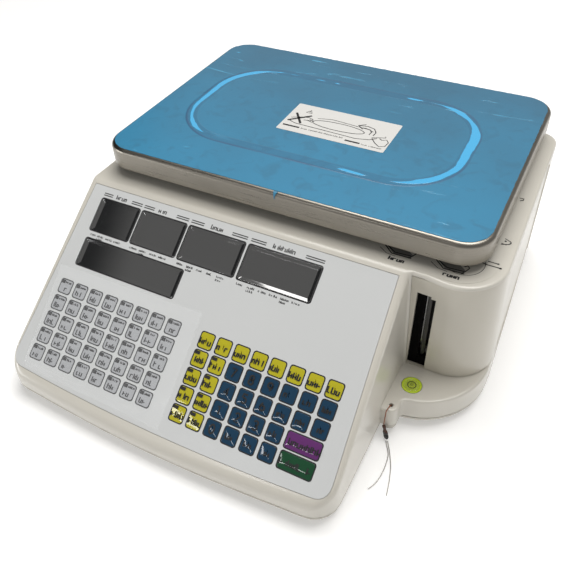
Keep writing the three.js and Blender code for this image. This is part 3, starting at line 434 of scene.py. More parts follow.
def protective_film():
    """Peelable blue film: loose where it bridges the pressed groove, streaked elsewhere, painted light in
    its colour.
    """
    finish = Finish("protective_film")
    # Painted light: the film is painted lighter at the front than at the back.
    front_blue, back_blue = (0.040, 0.240, 0.415, 1), (0.042, 0.160, 0.265, 1)
    # Painted shade colours: one for the groove and one for a line along its rim.
    groove_shade_blue, rim_shade_blue = (0.030, 0.125, 0.235, 1), (0.045, 0.13, 0.24, 1)
    # Painted highlight colours: one for the loose film over the groove and one for the streaks.
    loose_film_highlight_blue, streak_highlight_blue = (0.075, 0.45, 0.80, 1), (0.11, 0.46, 0.72, 1)
    away = ring_distance(finish, (-11, 88), (132.5, 71.5), 54)
    offset = finish.maths("ABSOLUTE", away)
    groove = finish.scaled(offset, 0.0045, 0.0062, 1, 0, smooth=True)
    across = finish.axis("X")
    left_end = finish.scaled(across, -0.122, -0.106, 0.75, 0)
    ends = finish.maths("MAXIMUM", finish.scaled(across, 0.075, 0.095), left_end)
    patches = finish.scaled(finish.noise(16, detail=2.5, distortion=0.6), 0.52, 0.60, 0, 0.55)
    reach = finish.scaled(finish.noise(34, detail=2), 0.36, 0.62, 0.0022, 0.0046)
    reach = finish.maths("MULTIPLY", finish.maths("MAXIMUM", ends, patches), reach)
    bridged = finish.scaled(finish.maths("SUBTRACT", reach, offset), 0.0, 0.0006)
    rim_offset = finish.maths("ABSOLUTE", finish.maths("SUBTRACT", away, 0.0048))
    rim = finish.scaled(rim_offset, 0.0006, 0.0016, 1, 0)
    rim = finish.maths("MULTIPLY", rim, finish.scaled(finish.noise(22, detail=1), 0.35, 0.6, 0.25, 1))
    streaks = finish.noise(30, detail=5, roughness=0.62, stretch=(0.35, 2.6, 1), distortion=1.4)
    streaks = finish.scaled(streaks, 0.635, 0.665)
    streaks = finish.maths("MULTIPLY", streaks, finish.scaled(finish.noise(7), 0.46, 0.6))
    # Painted shade from front to back, with a little wander.
    depth = finish.axis("Y")
    wander = finish.scaled(finish.noise(11, detail=3), 0.3, 0.7, -0.05, 0.05)
    depth = finish.maths("ADD", depth, wander)
    ground = finish.mix(finish.scaled(depth, -0.03, 0.21), front_blue, back_blue)
    mottle = finish.scaled(finish.noise(70, detail=3, distortion=0.8), 0.52, 0.68, 0, 0.35)
    ground = finish.mix(mottle, ground, shade(back_blue, 0.9))
    # Painted shade: darker blue in the groove, then along its rim.
    ground = finish.mix(finish.maths("MULTIPLY", groove, 0.4), ground, groove_shade_blue)
    ground = finish.mix(rim, ground, rim_shade_blue)
    # Painted highlight: lighter blue on the loose film, then along the streaks.
    ground = finish.mix(bridged, ground, loose_film_highlight_blue)
    ground = finish.mix(finish.maths("MULTIPLY", streaks, 0.8), ground, streak_highlight_blue)
    finish.set(Base_Color=ground)
    loose = finish.maths("ADD", bridged, streaks, clamp=True)
    finish.set(Roughness=finish.scaled(loose, 0, 1, 0.30, 0.16))
    creases = finish.maths("MULTIPLY", finish.noise(120, detail=4, roughness=0.7), 0.5)
    height = finish.maths("ADD", creases, finish.maths("MULTIPLY", groove, 1.2))
    height = finish.maths("ADD", height, finish.maths("MULTIPLY", loose, 0.9))
    finish.bump(height, 0.35, 0.0006)
    finish.set(Metallic=0.0, Coat_Weight=0.35, Coat_Roughness=0.12)


def roll_paper():
    """The edge of wound label paper shows as fine rings round the reel."""
    finish = Finish("roll_paper")
    layers = finish.node("ShaderNodeTexWave", {
        "Vector": finish.node("ShaderNodeMapping", {
            "Vector": finish.place, "Location": (-0.112, -0.076, 0),
        }).outputs["Vector"],
        "Scale": 500.0, "Distortion": 0.6, "Detail": 2.0,
    }, wave_type="RINGS", rings_direction="Z").outputs["Fac"]
    finish.set(Base_Color=finish.mix(layers, (0.72, 0.71, 0.67, 1), (0.88, 0.87, 0.84, 1)), Roughness=0.8)
    finish.bump(layers, 0.25, 0.0002)


def seal_plastic():
    """Black crimped plastic, with the sleeve at the top painted copper-brown as a painted highlight."""
    finish = Finish("seal_plastic")
    height = finish.axis("Z")
    uneven = finish.maths("MULTIPLY", finish.noise(500), 0.002)
    # Painted highlight: copper-brown above this height, black below.
    tone = finish.scaled(finish.maths("ADD", height, uneven), 0.0088, 0.0108)
    finish.set(Base_Color=finish.mix(tone, (0.012, 0.011, 0.011, 1), (0.075, 0.030, 0.018, 1)))
    finish.set(Roughness=finish.scaled(finish.noise(700), 0.3, 0.7, 0.16, 0.34))
    finish.bump(finish.noise(900), 0.3, 0.0003)


def key_finish(name, color):
    """Printed keys under a glossy, slightly bubbled protective layer."""
    moulded(name, color, 0.5, grain=0.5, size=110.0, spread=0.05, Specular_IOR_Level=0.15,
            Coat_Weight=0.6, Coat_Roughness=0.04)


def gloss_plastic(name, color):
    """Smooth injection-moulded case plastic with a faint orange peel."""
    moulded(name, color, 0.33, grain=0.03, size=45.0, spread=0.012, Coat_Weight=0.5, Coat_Roughness=0.14)


def make_finishes():
    """Every finish. A slot of the CAD record takes the finish of the same name."""
    gloss_plastic("shell_plastic", (0.625, 0.600, 0.537))
    gloss_plastic("door_plastic", (0.545, 0.515, 0.442))
    moulded("tray_plastic", (0.60, 0.575, 0.515), 0.42)
    moulded("overlay_film", (0.615, 0.628, 0.630), 0.34, grain=0.03, size=45.0, spread=0.02)
    see_through("clear_film", (0.90, 0.92, 0.94), 0.10, 0.10, wave=0.5)
    moulded("window_plastic", (0.015, 0.016, 0.017), 0.07, grain=0.0, IOR=2.5, Coat_Weight=0.7)
    moulded("display_glass", (0.065, 0.070, 0.066), 0.1, grain=0.02)
    moulded("circuit_board", (0.03, 0.16, 0.08), 0.35, grain=0.4, size=400.0, spread=0.3)
    metal("cast_aluminium", (0.50, 0.51, 0.52), 0.55, scale=400, bump=0.4)
    metal("machined_aluminium", (0.66, 0.67, 0.68), 0.32, stretch=(1, 0.08, 1))
    metal("zinc_steel", (0.38, 0.38, 0.37), 0.30, scale=120, streak=0.2)
    moulded("black_rubber", (0.018, 0.018, 0.018), 0.7, grain=0.4)
    moulded("foot_rubber", (0.028, 0.028, 0.028), 0.75, grain=0.5)
    metal("brushed_steel", (0.265, 0.247, 0.215), 0.30, stretch=(0.04, 0.04, 1.4), streak=0.10, bump=0.08)
    metal("polished_steel", (0.78, 0.78, 0.78), 0.12, stretch=(1, 1, 0.05), streak=0.05)
    protective_film()
    moulded("label_paper", (0.68, 0.675, 0.655), 0.5, grain=0.15, spread=0.015)
    roll_paper()
    moulded("gear_plastic", (0.70, 0.69, 0.63), 0.4)
    metal("motor_steel", (0.045, 0.045, 0.05), 0.5, scale=400, bump=0.3)
    moulded("lever_plastic", (0.03, 0.13, 0.34), 0.35)
    moulded("black_plastic", (0.012, 0.012, 0.013), 0.42, grain=0.3)
    moulded("rocker_plastic", (0.02, 0.02, 0.022), 0.25)
    moulded("level_plastic", (0.62, 0.74, 0.05), 0.16, spread=0.08, Subsurface_Weight=0.15)
    see_through("level_lens", (0.75, 0.82, 0.20), 0.18, 0.04, Coat_Weight=1.0)
    seal_plastic()
    metal("seal_wire_brown", (0.30, 0.12, 0.07), 0.3, scale=900, streak=0.3)
    metal("seal_wire_grey", (0.36, 0.35, 0.33), 0.34, scale=900, streak=0.3)
    # Painted shade: the peel blade's steel, darkened for the shade inside the slot.
    metal("shade_darkened_steel", (0.075, 0.075, 0.072), 0.42, stretch=(1, 1, 0.1), streak=0.2)
    # Painted shade: black plastic made darker and almost mirror-free for the dark inside of the slot.
    moulded("throat_shade_black", (0.003, 0.003, 0.003), 0.6, Specular_IOR_Level=0.02)
    moulded("print_black", (0.010, 0.010, 0.011), 0.45, spread=0.2)
    moulded("print_grey", (0.20, 0.195, 0.18), 0.5, spread=0.2)
    moulded("window_edge", (0.020, 0.021, 0.022), 0.5, grain=0.0, Specular_IOR_Level=0.2)
    moulded("key_outline", (0.012, 0.013, 0.015), 0.5, spread=0.2)
    moulded("key_grey", (0.400, 0.410, 0.430), 0.3, spread=0.05)
    key_finish("key_yellow", (0.47, 0.425, 0.012))
    key_finish("key_blue", (0.002, 0.036, 0.082))
    key_finish("key_purple", (0.115, 0.022, 0.140))
    key_finish("key_green", (0.003, 0.058, 0.020))


# ---------------------------------------------------------------- outlines of the case
def arc(centre, radius, start, end, steps, shift, edge, lip=None, hollow=False):
    """Columns round a corner; hollow corners face their own centre."""
    side = -1 if hollow else 1
    for i in range(steps + 1):
        angle = math.radians(start + (end - start) * i / steps)
        c, s = math.cos(angle), math.sin(angle)
        point = (centre[0] + radius * c, centre[1] + radius * s)
        yield Column(point, (side * c, side * s), shift, edge, lip(point, s) if lip else 0)


def deck_lip(point, sine):
    """How far the deck stands out over the printer bay: fading in at the console, out along the side."""
    x, y = point
    grow = min(1, max(0, (x - CONSOLE_RIGHT - CORNER_FILLET) / LIP_LENGTH))
    fade = max(0, (LIP_END - y) / (LIP_END - BAY_FRONT))
    return DECK_LIP * grow * grow * (3 - 2 * grow) * fade * max(0, -sine)


def crease_line(deck, drop):
    """The y at which the lowered slope meets a deck of that height."""
    return SLOPE.y + (deck + drop - SLOPE.z) / math.tan(TILT)


CREASE = crease_line(DECK, 0)
CREASE_SPREAD = 3
CREASE_STEPS = (1, 0.5, 0, -0.5, -1)
SUPPORT = 1.2


def case_top(y):
    """Height of the top surface: the slope, then the deck, with the crease between them eased."""
    slope = SLOPE.z + (y - SLOPE.y) * math.tan(TILT)
    t = (y - CREASE + CREASE_SPREAD) / (2 * CREASE_SPREAD)
    if t <= 0:
        return slope
    if t >= 1:
        return DECK
    start = DECK - CREASE_SPREAD * math.tan(TILT)
    return start * (1 - t) ** 2 + 2 * DECK * t * (1 - t) + DECK * t * t


def case_columns():
    """The plan of the whole case, anticlockwise from the left end of the crease."""
    left = [
        Column((-HALF_WIDTH, CREASE + k * CREASE_SPREAD), (-1, 0), (1, 0),
               DECK_EDGE + (CONSOLE_EDGE - DECK_EDGE) * (1 - k) / 2, 0)
        for k in CREASE_STEPS
    ]
    inset = CONSOLE_CORNER
    span = CONSOLE_RIGHT + HALF_WIDTH - 2 * inset
    turn = math.degrees(math.atan(CONSOLE_BOW * math.pi / span))
    left_corner = (-HALF_WIDTH + inset, CONSOLE_FRONT + inset)
    right_corner = (CONSOLE_RIGHT - inset, CONSOLE_FRONT + inset)
    front = [*arc(left_corner, inset, 180, 270 - turn, 9, (1, 0.6), CONSOLE_EDGE)]
    bow_steps = 22
    for i in range(1, bow_steps):
        t = i / bow_steps
        lean = CONSOLE_BOW * math.pi / span * math.cos(math.pi * t)
        size = math.hypot(lean, 1)
        point = (-HALF_WIDTH + inset + span * t, CONSOLE_FRONT - CONSOLE_BOW * math.sin(math.pi * t))
        front.append(Column(point, (-lean / size, -1 / size), (1 - 2 * t, 0.6), CONSOLE_EDGE, 0))
    front += arc(right_corner, inset, 270 + turn, 360, 9, (-1, 0.6), CONSOLE_EDGE)
    right = [Column((CONSOLE_RIGHT, CREASE - CREASE_SPREAD), (1, 0), (-1, 0), CONSOLE_EDGE, 0)]
    hub = (CONSOLE_RIGHT + CORNER_FILLET, BAY_FRONT - CORNER_FILLET)
    for k in (-0.5, 0, 0.5, 1):
        edge = DECK_EDGE + (CONSOLE_EDGE - DECK_EDGE) * (1 - k) / 2
        sine = (CREASE + k * CREASE_SPREAD - hub[1]) / (CORNER_FILLET + edge + SUPPORT)
        angle = math.degrees(math.pi - math.asin(sine))
        right += arc(hub, CORNER_FILLET, angle, angle, 1, (-1, 0), edge, hollow=True)
        right.pop()
    right += arc(hub, CORNER_FILLET, 115, 90, 2, (-1, 0), DECK_EDGE, hollow=True)
    bay = [
        Column((x, BAY_FRONT), (0, -1), (0, 0), DECK_EDGE, deck_lip((x, BAY_FRONT), -1))
        for x in (132, 135, 138.5, 142, 146, 150.5)
    ]
    corner = (HALF_WIDTH - BAY_CORNER, BAY_FRONT + BAY_CORNER)
    bay += arc(corner, BAY_CORNER, -90, 0, 16, (-1, 0), DECK_EDGE, lip=deck_lip)
    back = [
        *arc((REAR_RIGHT - BACK_CORNER, BACK - BACK_CORNER), BACK_CORNER, 0, 90, 9, (0, -1), DECK_EDGE),
        *arc((-HALF_WIDTH + BACK_CORNER, BACK - BACK_CORNER), BACK_CORNER, 90, 180, 9, (1, -1), DECK_EDGE),
    ]
    return left + front + right + bay + back, len(left), len(left) + len(front)


def wall_point(column, z, out=0.0):
    """The wall's surface at a column and a height, or out from it."""
    rise = DRAFT * (z - FOOT_HEIGHT)
    return Vector((
        column.point[0] + column.shift[0] * rise + column.normal[0] * out,
        column.point[1] + column.shift[1] * rise + column.normal[1] * out,
        z,
    ))


def edge_rows(column, top, steps=4):
    """The rounded upper edge of a wall, from the flat top outwards and down."""
    edge, lip = column.edge, column.lip
    z = top(column.point[1])
    for _ in range(8):
        z = top(wall_point(column, z, lip).y)
    crest = wall_point(column, z, lip)
    normal = Vector((*column.normal, 0))

    def inward(distance):
        spot = crest - normal * distance
        spot.z = top(spot.y)
        return spot

    low = wall_point(column, z - edge, lip)
    start = inward(edge)
    rows = [inward(edge + SUPPORT)]
    for i in range(steps + 1):
        t = i / steps
        rows.append(start * (1 - t) ** 2 + crest * 2 * t * (1 - t) + low * t * t)
    return rows


def bottom_rows(column):
    """The chamfered lower edge of a wall."""
    return [wall_point(column, CASE_BOTTOM + BOTTOM_CHAMFER), wall_point(column, CASE_BOTTOM, -BOTTOM_TUCK)]


def skin(rows):
    """A solid through the rows of each column, closed below. Its top ring is still open."""
    solid = Solid()
    levels = [solid.ring(level) for level in zip(*rows)]
    for upper, lower in zip(levels, levels[1:]):
        solid.bridge(lower, upper)
    solid.face(reversed(levels[-1]))
    return solid, levels[0]


def case_shell():
    """The outer surface of the case as one closed solid, before anything is cut out of it."""
    columns, left_count, right_start = case_columns()
    rows = []
    for column in columns:
        rows.append(edge_rows(column, case_top))
        under = rows[-1][-1].z
        rows[-1] += [wall_point(column, under - 0.12, column.lip * 0.9), wall_point(column, under - 0.3)]
        rows[-1] += bottom_rows(column)
    solid, top = skin(rows)
    left = top[:left_count]
    right = top[right_start:right_start + left_count]
    solid.face(top[left_count - 1:right_start + 1])
    for i in range(left_count - 1):
        solid.face((left[-2 - i], left[-1 - i], right[i], right[i + 1]))
    solid.face([*top[right_start + left_count - 1:], top[0]])
    return solid


def flange_shell():
    """The low flange beside the console, with the sealing tab on its front."""
    rx, ry = FLANGE_REACH
    cx, cy = FLANGE_CENTRE
    edge = FLANGE_EDGE
    columns = [Column((FLANGE_ROOT, TAB_CENTRE[1] - TAB_RADIUS), (0, -1), (0, 0), edge, 0)]
    columns += arc(TAB_CENTRE, TAB_RADIUS, -90, 0, 7, (0, 0), edge)
    hub = TAB_CENTRE[0] + TAB_RADIUS + TAB_FILLET
    reach = hub - cx
    level = cy - ry * math.sqrt(1 - (reach / rx) ** 2)
    columns += arc((hub, level - TAB_FILLET), TAB_FILLET, 180, 100, 5, (-0.1, 0.5), edge, hollow=True)
    first = -math.acos((reach + 1.5) / rx)
    steps = 22
    for i in range(steps + 1):
        angle = first * (1 - i / steps)
        c, s = math.cos(angle), math.sin(angle)
        size = math.hypot(c / rx, s / ry)
        columns.append(Column((cx + rx * c, cy + ry * s), (c / rx / size, s / ry / size), (-c, -s), edge, 0))
    columns.append(Column((HALF_WIDTH - 0.1, SIDE_START), (1, 0), (-1, 0), edge, 0))
    columns.append(Column((HALF_WIDTH - 10, 8), (0, 1), (0, 0), edge, 0))
    columns.append(Column((FLANGE_ROOT, 12), (0, 1), (0, 0), edge, 0))
    solid, top = skin([edge_rows(column, lambda y: FLANGE_TOP) + bottom_rows(column) for column in columns])
    solid.face(top)
    return solid


def prism(outline, place, low, high):
    """A flat outline in two coordinates, raised between two heights of a placing function."""
    return lofted([[place(a, b, h) for a, b in outline] for h in (low, high)])


def rectangle(x0, y0, x1, y1):
    return [(x0, y0), (x1, y0), (x1, y1), (x0, y1)]


def block(low, high):
    return prism(rectangle(*low[:2], *high[:2]), upright, low[2], high[2])


def along_hinge(radius, low, high, sides=20):
    """A rod round the leaning axis of the door hinge."""
    rings = []
    for z in (low, high):
        x = HINGE.x - HINGE_LEAN * (z - HINGE.z)
        rings.append([(x + radius * c, HINGE.y + radius * s, z) for c, s in circle(sides)])
    return lofted(rings)


OVERLAY = {"top": (-30.6, 264.3, 162.5), "low": (-38, 271, -15.5), "corner": 14, "bow": 5}


def overlay_outline(margin, bow_steps=20, corner_steps=6):
    """The printed panel: straight top, spreading sides, bowed lower edge with round corners."""
    top_left, top_right, top = OVERLAY["top"]
    low_left, low_right, bottom = OVERLAY["low"]
    top_left, top_right, top = top_left - margin, top_right + margin, top + margin
    low_left, low_right, bottom = low_left - margin, low_right + margin, bottom - margin
    radius = OVERLAY["corner"] + margin
    middle = ((low_left + low_right) / 2, bottom - 2 * OVERLAY["bow"])

    def curve(a, b, c, steps):
        return [
            tuple(a[k] * (1 - t) ** 2 + 2 * b[k] * t * (1 - t) + c[k] * t * t for k in (0, 1))
            for t in (i / steps for i in range(steps + 1))
        ]

    left_start, right_end = (low_left, bottom + radius), (low_right, bottom + radius)
    points = curve(left_start, (low_left, bottom), (low_left + radius, bottom), corner_steps)
    points += curve((low_left + radius, bottom), middle, (low_right - radius, bottom), bow_steps)[1:-1]
    points += curve((low_right - radius, bottom), (low_right, bottom), right_end, corner_steps)
    return [*points, (top_right, top), (top_left, top)]


def window_outline(name, margin, steps=4):
    """A display window's outline on the panel, moved out by margin."""
    u0, u1, v0, v1 = WINDOWS[name]
    return rounded(u0 - margin, v0 - margin, u1 + margin, v1 + margin, 2.2 + margin * 0.5, steps)


def hollow_console():
    """The space inside the console, under its sloping top."""
    back = crease_line(SHOULDER, SLOPE_WALL)
    outline = [
        (-HALF_WIDTH + WALL, back),
        (-HALF_WIDTH + 9, CONSOLE_FRONT + 9), (-HALF_WIDTH + 24, CONSOLE_FRONT + WALL),
        (CONSOLE_RIGHT - 24, CONSOLE_FRONT + WALL), (CONSOLE_RIGHT - 9, CONSOLE_FRONT + 9),
        (CONSOLE_RIGHT - WALL, back),
    ]

    def under_slope(y):
        return max(CASE_BOTTOM, SLOPE.z - SLOPE_WALL + (y - SLOPE.y) * math.tan(TILT))

    def leaning(x, y, z):
        return (x - math.copysign(DRAFT * (z - FOOT_HEIGHT), x), y, z)

    return lofted([
        [leaning(x, y, CASE_BOTTOM - 2) for x, y in outline],
        [leaning(x, y, under_slope(y)) for x, y in outline],
    ])


def hollow_body():
    """The space under the deck."""
    inset = WALL
    rings = []
    for z in (CASE_BOTTOM - 2, SHOULDER):
        lean = DRAFT * (z - FOOT_HEIGHT)
        half = HALF_WIDTH - inset - lean
        front, back = BAY_FRONT + inset, BACK - inset - lean
        corner = BAY_CORNER - inset
        ring = [(-half, front)]
        ring += [
            (half - corner * (1 - math.sin(a)), front + corner * (1 - math.cos(a)))
            for a in (math.radians(10 * i) for i in range(10))
        ]
        rear = REAR_RIGHT - inset
        ring += [(rear, back - 14), (rear - 4, back - 4), (rear - 14, back)]
        ring += [(-half + 14, back), (-half + 4, back - 4), (-half, back - 14)]
        rings.append([(x, y, z) for x, y in ring])
    return lofted(rings)


def rear_block(x, z, width, height):
    """Cuts an opening through the back wall."""
    return block(
        (x - width / 2 - GAP, BACK - 20, z - height / 2 - GAP),
        (x + width / 2 + GAP, BACK + 5, z + height / 2 + GAP),
    )


def doorway():
    """The front part of the door opening; its left edge leans with the console's side."""
    rings = []
    for z in (FLANGE_TOP + GAP, SHOULDER):
        left = DOOR_LEFT - 0.2 - DRAFT * (z - FOOT_HEIGHT)
        rings.append([(x, y, z) for x, y in rectangle(left, BAY_FRONT - 6, FAR_RIGHT, BAY_FRONT + 30)])
    return lofted(rings)


def top_housing():
    """The ivory upper case with its flange, doorway, panel recess and rear openings."""
    shell = bare_object("top_housing_shell", case_shell().mesh("top_housing_shell"))
    carve(shell, [flange_shell()], "UNION")
    round_hole = Solid()
    round_hole.lathe(LEVEL, [(LEVEL_RADIUS + 0.4, FLANGE_TOP - 2), (LEVEL_RADIUS + 0.4, FLANGE_TOP + 3)])
    tab_hole = Solid()
    narrow, wide = TAB_HOLE_RADIUS, TAB_HOLE_RADIUS + 0.5
    profile = [(narrow, 5), (narrow, FLANGE_TOP - 0.6), (wide, FLANGE_TOP + 0.2), (wide, FLANGE_TOP + 3)]
    tab_hole.lathe(TAB_HOLE, profile, 20)
    cuts = [
        hollow_console(),
        hollow_body(),
        doorway(),
        block((HALF_WIDTH - 30, BAY_FRONT, FLANGE_TOP + GAP), (FAR_RIGHT, HINGE.y, SHOULDER)),
        along_hinge(POCKET_RADIUS, FLANGE_TOP + GAP, SHOULDER),
        prism(overlay_outline(0.4), panel, -OVERLAY_DEPTH - GAP, 12),
        prism(rounded(*POST_HOLE, POST_HOLE_CORNER), upright, SHOULDER - 3, DECK + 4),
        round_hole,
        tab_hole,
        *(prism(window_outline(name, 2), panel, -9, -0.5) for name in WINDOWS),
        *(rear_block(*opening) for opening in REAR_OPENINGS),
    ]
    carve(shell, cuts, "DIFFERENCE")
    finish_piece(shell, "housing", ["shell_plastic"], stands_for=["top_housing"], sharp=32)


def printer_door():
    """The curved door over the label roll, with its stepped label slot."""
    columns = [
        Column((DOOR_LEFT, BAY_FRONT), (0, -1), (-1, 0), 0, 0),
        *arc((HALF_WIDTH - BAY_CORNER, BAY_FRONT + BAY_CORNER), BAY_CORNER, -90, 0, 18, (-1, 0), 0),
        Column((HINGE.x + DOOR_WALL / 2, HINGE.y - GAP), (1, 0), (HINGE_SHARE - 1, 0), 0, 0),
    ]
    inner = -DOOR_WALL
    edge, bulge = 0.8, 0.25
    section = [
        (0, DOOR_BOTTOM + edge), (0, DOOR_TOP - edge), (-bulge, DOOR_TOP - bulge), (-edge, DOOR_TOP),
        (inner + edge, DOOR_TOP), (inner + bulge, DOOR_TOP - bulge), (inner, DOOR_TOP - edge),
        (inner, DOOR_BOTTOM + edge), (inner + bulge, DOOR_BOTTOM + bulge), (inner + edge, DOOR_BOTTOM),
        (-edge, DOOR_BOTTOM), (-bulge, DOOR_BOTTOM + bulge),
    ]
    solid = lofted([[wall_point(column, z, out) for out, z in section] for column in columns])
    door = bare_object("printer_door_shell", solid.mesh("printer_door_shell"))
    slot = prism(LABEL_SLOT, lambda x, z, y: Vector((x, y, z)), BAY_FRONT - 5, BAY_FRONT + 5)
    carve(door, [slot], "DIFFERENCE")
    carve(door, [along_hinge(BARREL_RADIUS, DOOR_BOTTOM + 0.2, DOOR_TOP - 0.2)], "UNION")
    carve(door, [along_hinge(PIN_HOLE_RADIUS, DOOR_BOTTOM - 2, DOOR_TOP + 2)], "DIFFERENCE")
    finish_piece(door, "door", ["door_plastic"], stands_for=["printer_door"], sharp=32)


def label_throat():
    """The black moulding behind the slot: a side cheek, a floor and a narrower cheek on the right, darkened
    as painted shade.
    """
    front, back = BAY_FRONT + 3.0, BAY_FRONT + 4.6
    floor, sill, top = 33.2, 44.0, 119.6
    left, gap_left, gap_right, right = 126.6, 135.4, 144.0, 145.2
    solid = Solid()
    solid.rounded_bar((left, front, gap_left, back), floor, top, 0.25, 0.4, 2)
    solid.rounded_bar((gap_left, front, right, back), floor, sill, 0.25, 0.4, 2)
    solid.rounded_bar((gap_right, front, right, back), sill, top, 0.25, 0.4, 2)
    piece("label_throat", solid, "housing", ["throat_shade_black"], slot="black_plastic", sharp=40)


def peel_bar():
    """The blade behind the slot, its steel painted dark as painted shade, with a bright rod beside its front
    edge.
    """
    low, high = 36, 118
    blade = Solid()
    blade.rounded_bar((136.4, -44.6, 140, -42.4), low, high, 0.3, 0.4, 3)
    piece("peel_blade", blade, "housing", ["shade_darkened_steel"], stands_for=["peel_bar"], slot="zinc_steel",
          sharp=40)
    rod = Solid()
    rod.lathe((136.0, -45.1), [(0.2, low + 24), (0.45, low + 24.3), (0.45, high - 0.3), (0.2, high)], 14)
    piece("peel_rod", rod, "housing", ["zinc_steel"], sharp=40)


# ---------------------------------------------------------------- printed marks
class Ink(Solid):
    """Flat printed strokes on a plane."""

    def __init__(self, plane):
        super().__init__()
        self.plane = plane
        self.random = random.Random(11)

    def stroke(self, points, width, closed=False):
        spots = [Vector(p) for p in points]
        count = len(spots)
        left, right = [], []
        for i, spot in enumerate(spots):
            before = spots[i - 1] if i or closed else spot
            after = spots[(i + 1) % count] if i < count - 1 or closed else spot
            along = (after - before).normalized()
            across = Vector((-along.y, along.x)) * width / 2
            left.append(self.plane(*(spot + across)))
            right.append(self.plane(*(spot - across)))
        self.bridge(self.ring(right), self.ring(left), closed)

    def ellipse(self, centre, rx, ry, width, start=0, end=360, steps=28):
        closed = end - start >= 360
        points = []
        for i in range(steps if closed else steps + 1):
            angle = math.radians(start + (end - start) * i / steps)
            points.append((centre[0] + rx * math.cos(angle), centre[1] + ry * math.sin(angle)))
        self.stroke(points, width, closed)

    def patch(self, outline):
        self.face(self.ring([self.plane(a, b) for a, b in outline]))

    def bar(self, a0, b0, a1, b1):
        self.patch(rectangle(a0, b0, a1, b1))

    def words(self, a, b, width, height, weight=0.3):
        """A line of small strokes with the grey of print, and no letters in it."""
        spot = a
        while spot < a + width - height * 0.3:
            kind = self.random.random()
            if kind > 0.86:
                spot += height * 0.4
                continue
            reach = height * self.random.uniform(0.35, 0.55)
            self.stroke([(spot, b), (spot, b + height * self.random.choice((0.7, 1)))], height * weight)
            if kind < 0.7:
                level = b + height * self.random.choice((0.05, 0.35, 0.65))
                self.stroke([(spot, level), (spot + reach, level)], height * weight * 0.8)
            if kind < 0.5:
                self.stroke([(spot + reach, b), (spot + reach, b + height * 0.7)], height * weight)
            spot += (reach if kind < 0.7 else 0) + height * 0.3


def on_level(z):
    """Ink printed on a horizontal face at that height."""
    return Ink(lambda x, y: Vector((x, y, z)))


def on_panel(lift):
    """Ink printed on the sloping panel, lifted off its face."""
    return Ink(lambda u, v: panel(u, v, lift))


def printed(name, ink, body, finish, slot):
    piece(name, ink, body, [finish], outward=False, slot=slot)


# ---------------------------------------------------------------- sloping panel
# A pad's first corner, the steps between its keys, a key's size, how far the printed outline reaches past
# the key and how wide it shows.
GREY_PAD = {"at": (-23.3, 70.9), "pitch": (16.6, 15.6), "key": (13.9, 13.7), "reach": 0.0, "line": 0.95}
COLOUR_PAD = {"at": (126.6, 70.7), "pitch": (16.4, 15.6), "key": (13.2, 14.0), "reach": 0.3, "line": 0.65}
PAD_ROWS = 5
PAD_COLUMNS = 8
KEY_CORNER = 2.4
KEY_STEP = 0.18
KEY_BUBBLE = 0.4
KEY_FLAT = 0.03
# The digit on each key of the coloured pad, by row and column.
DIGITS = {(1, 2): "7", (1, 3): "8", (1, 4): "9", (2, 2): "4", (2, 3): "5", (2, 4): "6",
          (3, 2): "1", (3, 3): "2", (3, 4): "3", (4, 2): "0"}


def key_colour(row, column):
    if row == 0 or column < 2:
        return "key_yellow"
    if row >= 3 and column >= 6:
        return "key_purple" if row == 3 else "key_green"
    return "key_blue"


def key_dome(solid, u0, v0, u1, v1, bulge, radius=2.0):
    """A key: a small step up at its edge, then a bubble of the covering layer that is bulge high."""
    reach = (v1 - v0) / 2
    rings = [[panel(u, v, PRINT_LIFT) for u, v in rounded(u0, v0, u1, v1, radius, 4)]]
    for share in (0.01, 0.06, 0.18, 0.36, 0.58, 0.82):
        inset = reach * share
        corner = max(0.4, radius * (1 - 0.5 * share))
        outline = rounded(u0 + inset, v0 + inset, u1 - inset, v1 - inset, min(corner, reach - inset), 4)
        swell = KEY_STEP + bulge * (1 - (1 - share) ** 2)
        rings.append([panel(u, v, swell) for u, v in outline])
    solid.loft(rings)


def digit_strokes(ink, text, u, v, size):
    """A digit drawn with plain strokes inside a box of the given height."""
    half = size * 0.28
    weight = size * 0.2
    top, middle, low = v + size, v + size / 2, v
    if text == "0":
        ink.ellipse((u, middle), half, size / 2, weight)
    elif text == "1":
        ink.stroke([(u - half, top - size * 0.2), (u, top), (u, low)], weight)
    elif text == "4":
        stem, level = u + half * 0.5, low + size * 0.3
        ink.stroke([(stem, low), (stem, top), (u - half, level), (u + half, level)], weight)
    elif text == "7":
        ink.stroke([(u - half, top), (u + half, top), (u - half * 0.3, low)], weight)
    elif text == "8":
        ink.ellipse((u, middle + size * 0.25), half * 0.85, size * 0.24, weight)
        ink.ellipse((u, middle - size * 0.25), half, size * 0.26, weight)
    elif text == "9":
        ink.ellipse((u, middle + size * 0.2), half, size * 0.28, weight)
        ink.ellipse((u - half, middle + size * 0.15), half * 2, size * 0.62, weight, -55, 10)
    elif text == "6":
        ink.ellipse((u, middle - size * 0.2), half, size * 0.28, weight)
        # A hairline that lies in the loop's own ink.
        ink.ellipse((u - half, middle - size * 0.15), half * 2, size * 0.62, weight, 0, 0.1)
        ink.ellipse((u + half, middle - size * 0.15), half * 2, size * 0.62, weight, 125, 190)
    elif text == "5":
        ink.stroke([(u + half, top), (u - half * 0.8, top), (u - half, middle + size * 0.08)], weight)
        ink.ellipse((u, low + size * 0.3), half, size * 0.3, weight, -150, 130)
    elif text == "2":
        ink.ellipse((u, top - size * 0.27), half, size * 0.27, weight, -25, 165)
        ink.stroke([(u + half * 0.85, top - size * 0.4), (u - half, low), (u + half, low)], weight)
    elif text == "3":
        ink.ellipse((u, middle + size * 0.25), half * 0.9, size * 0.25, weight, -90, 160)
        ink.ellipse((u, middle - size * 0.25), half, size * 0.26, weight, -160, 90)


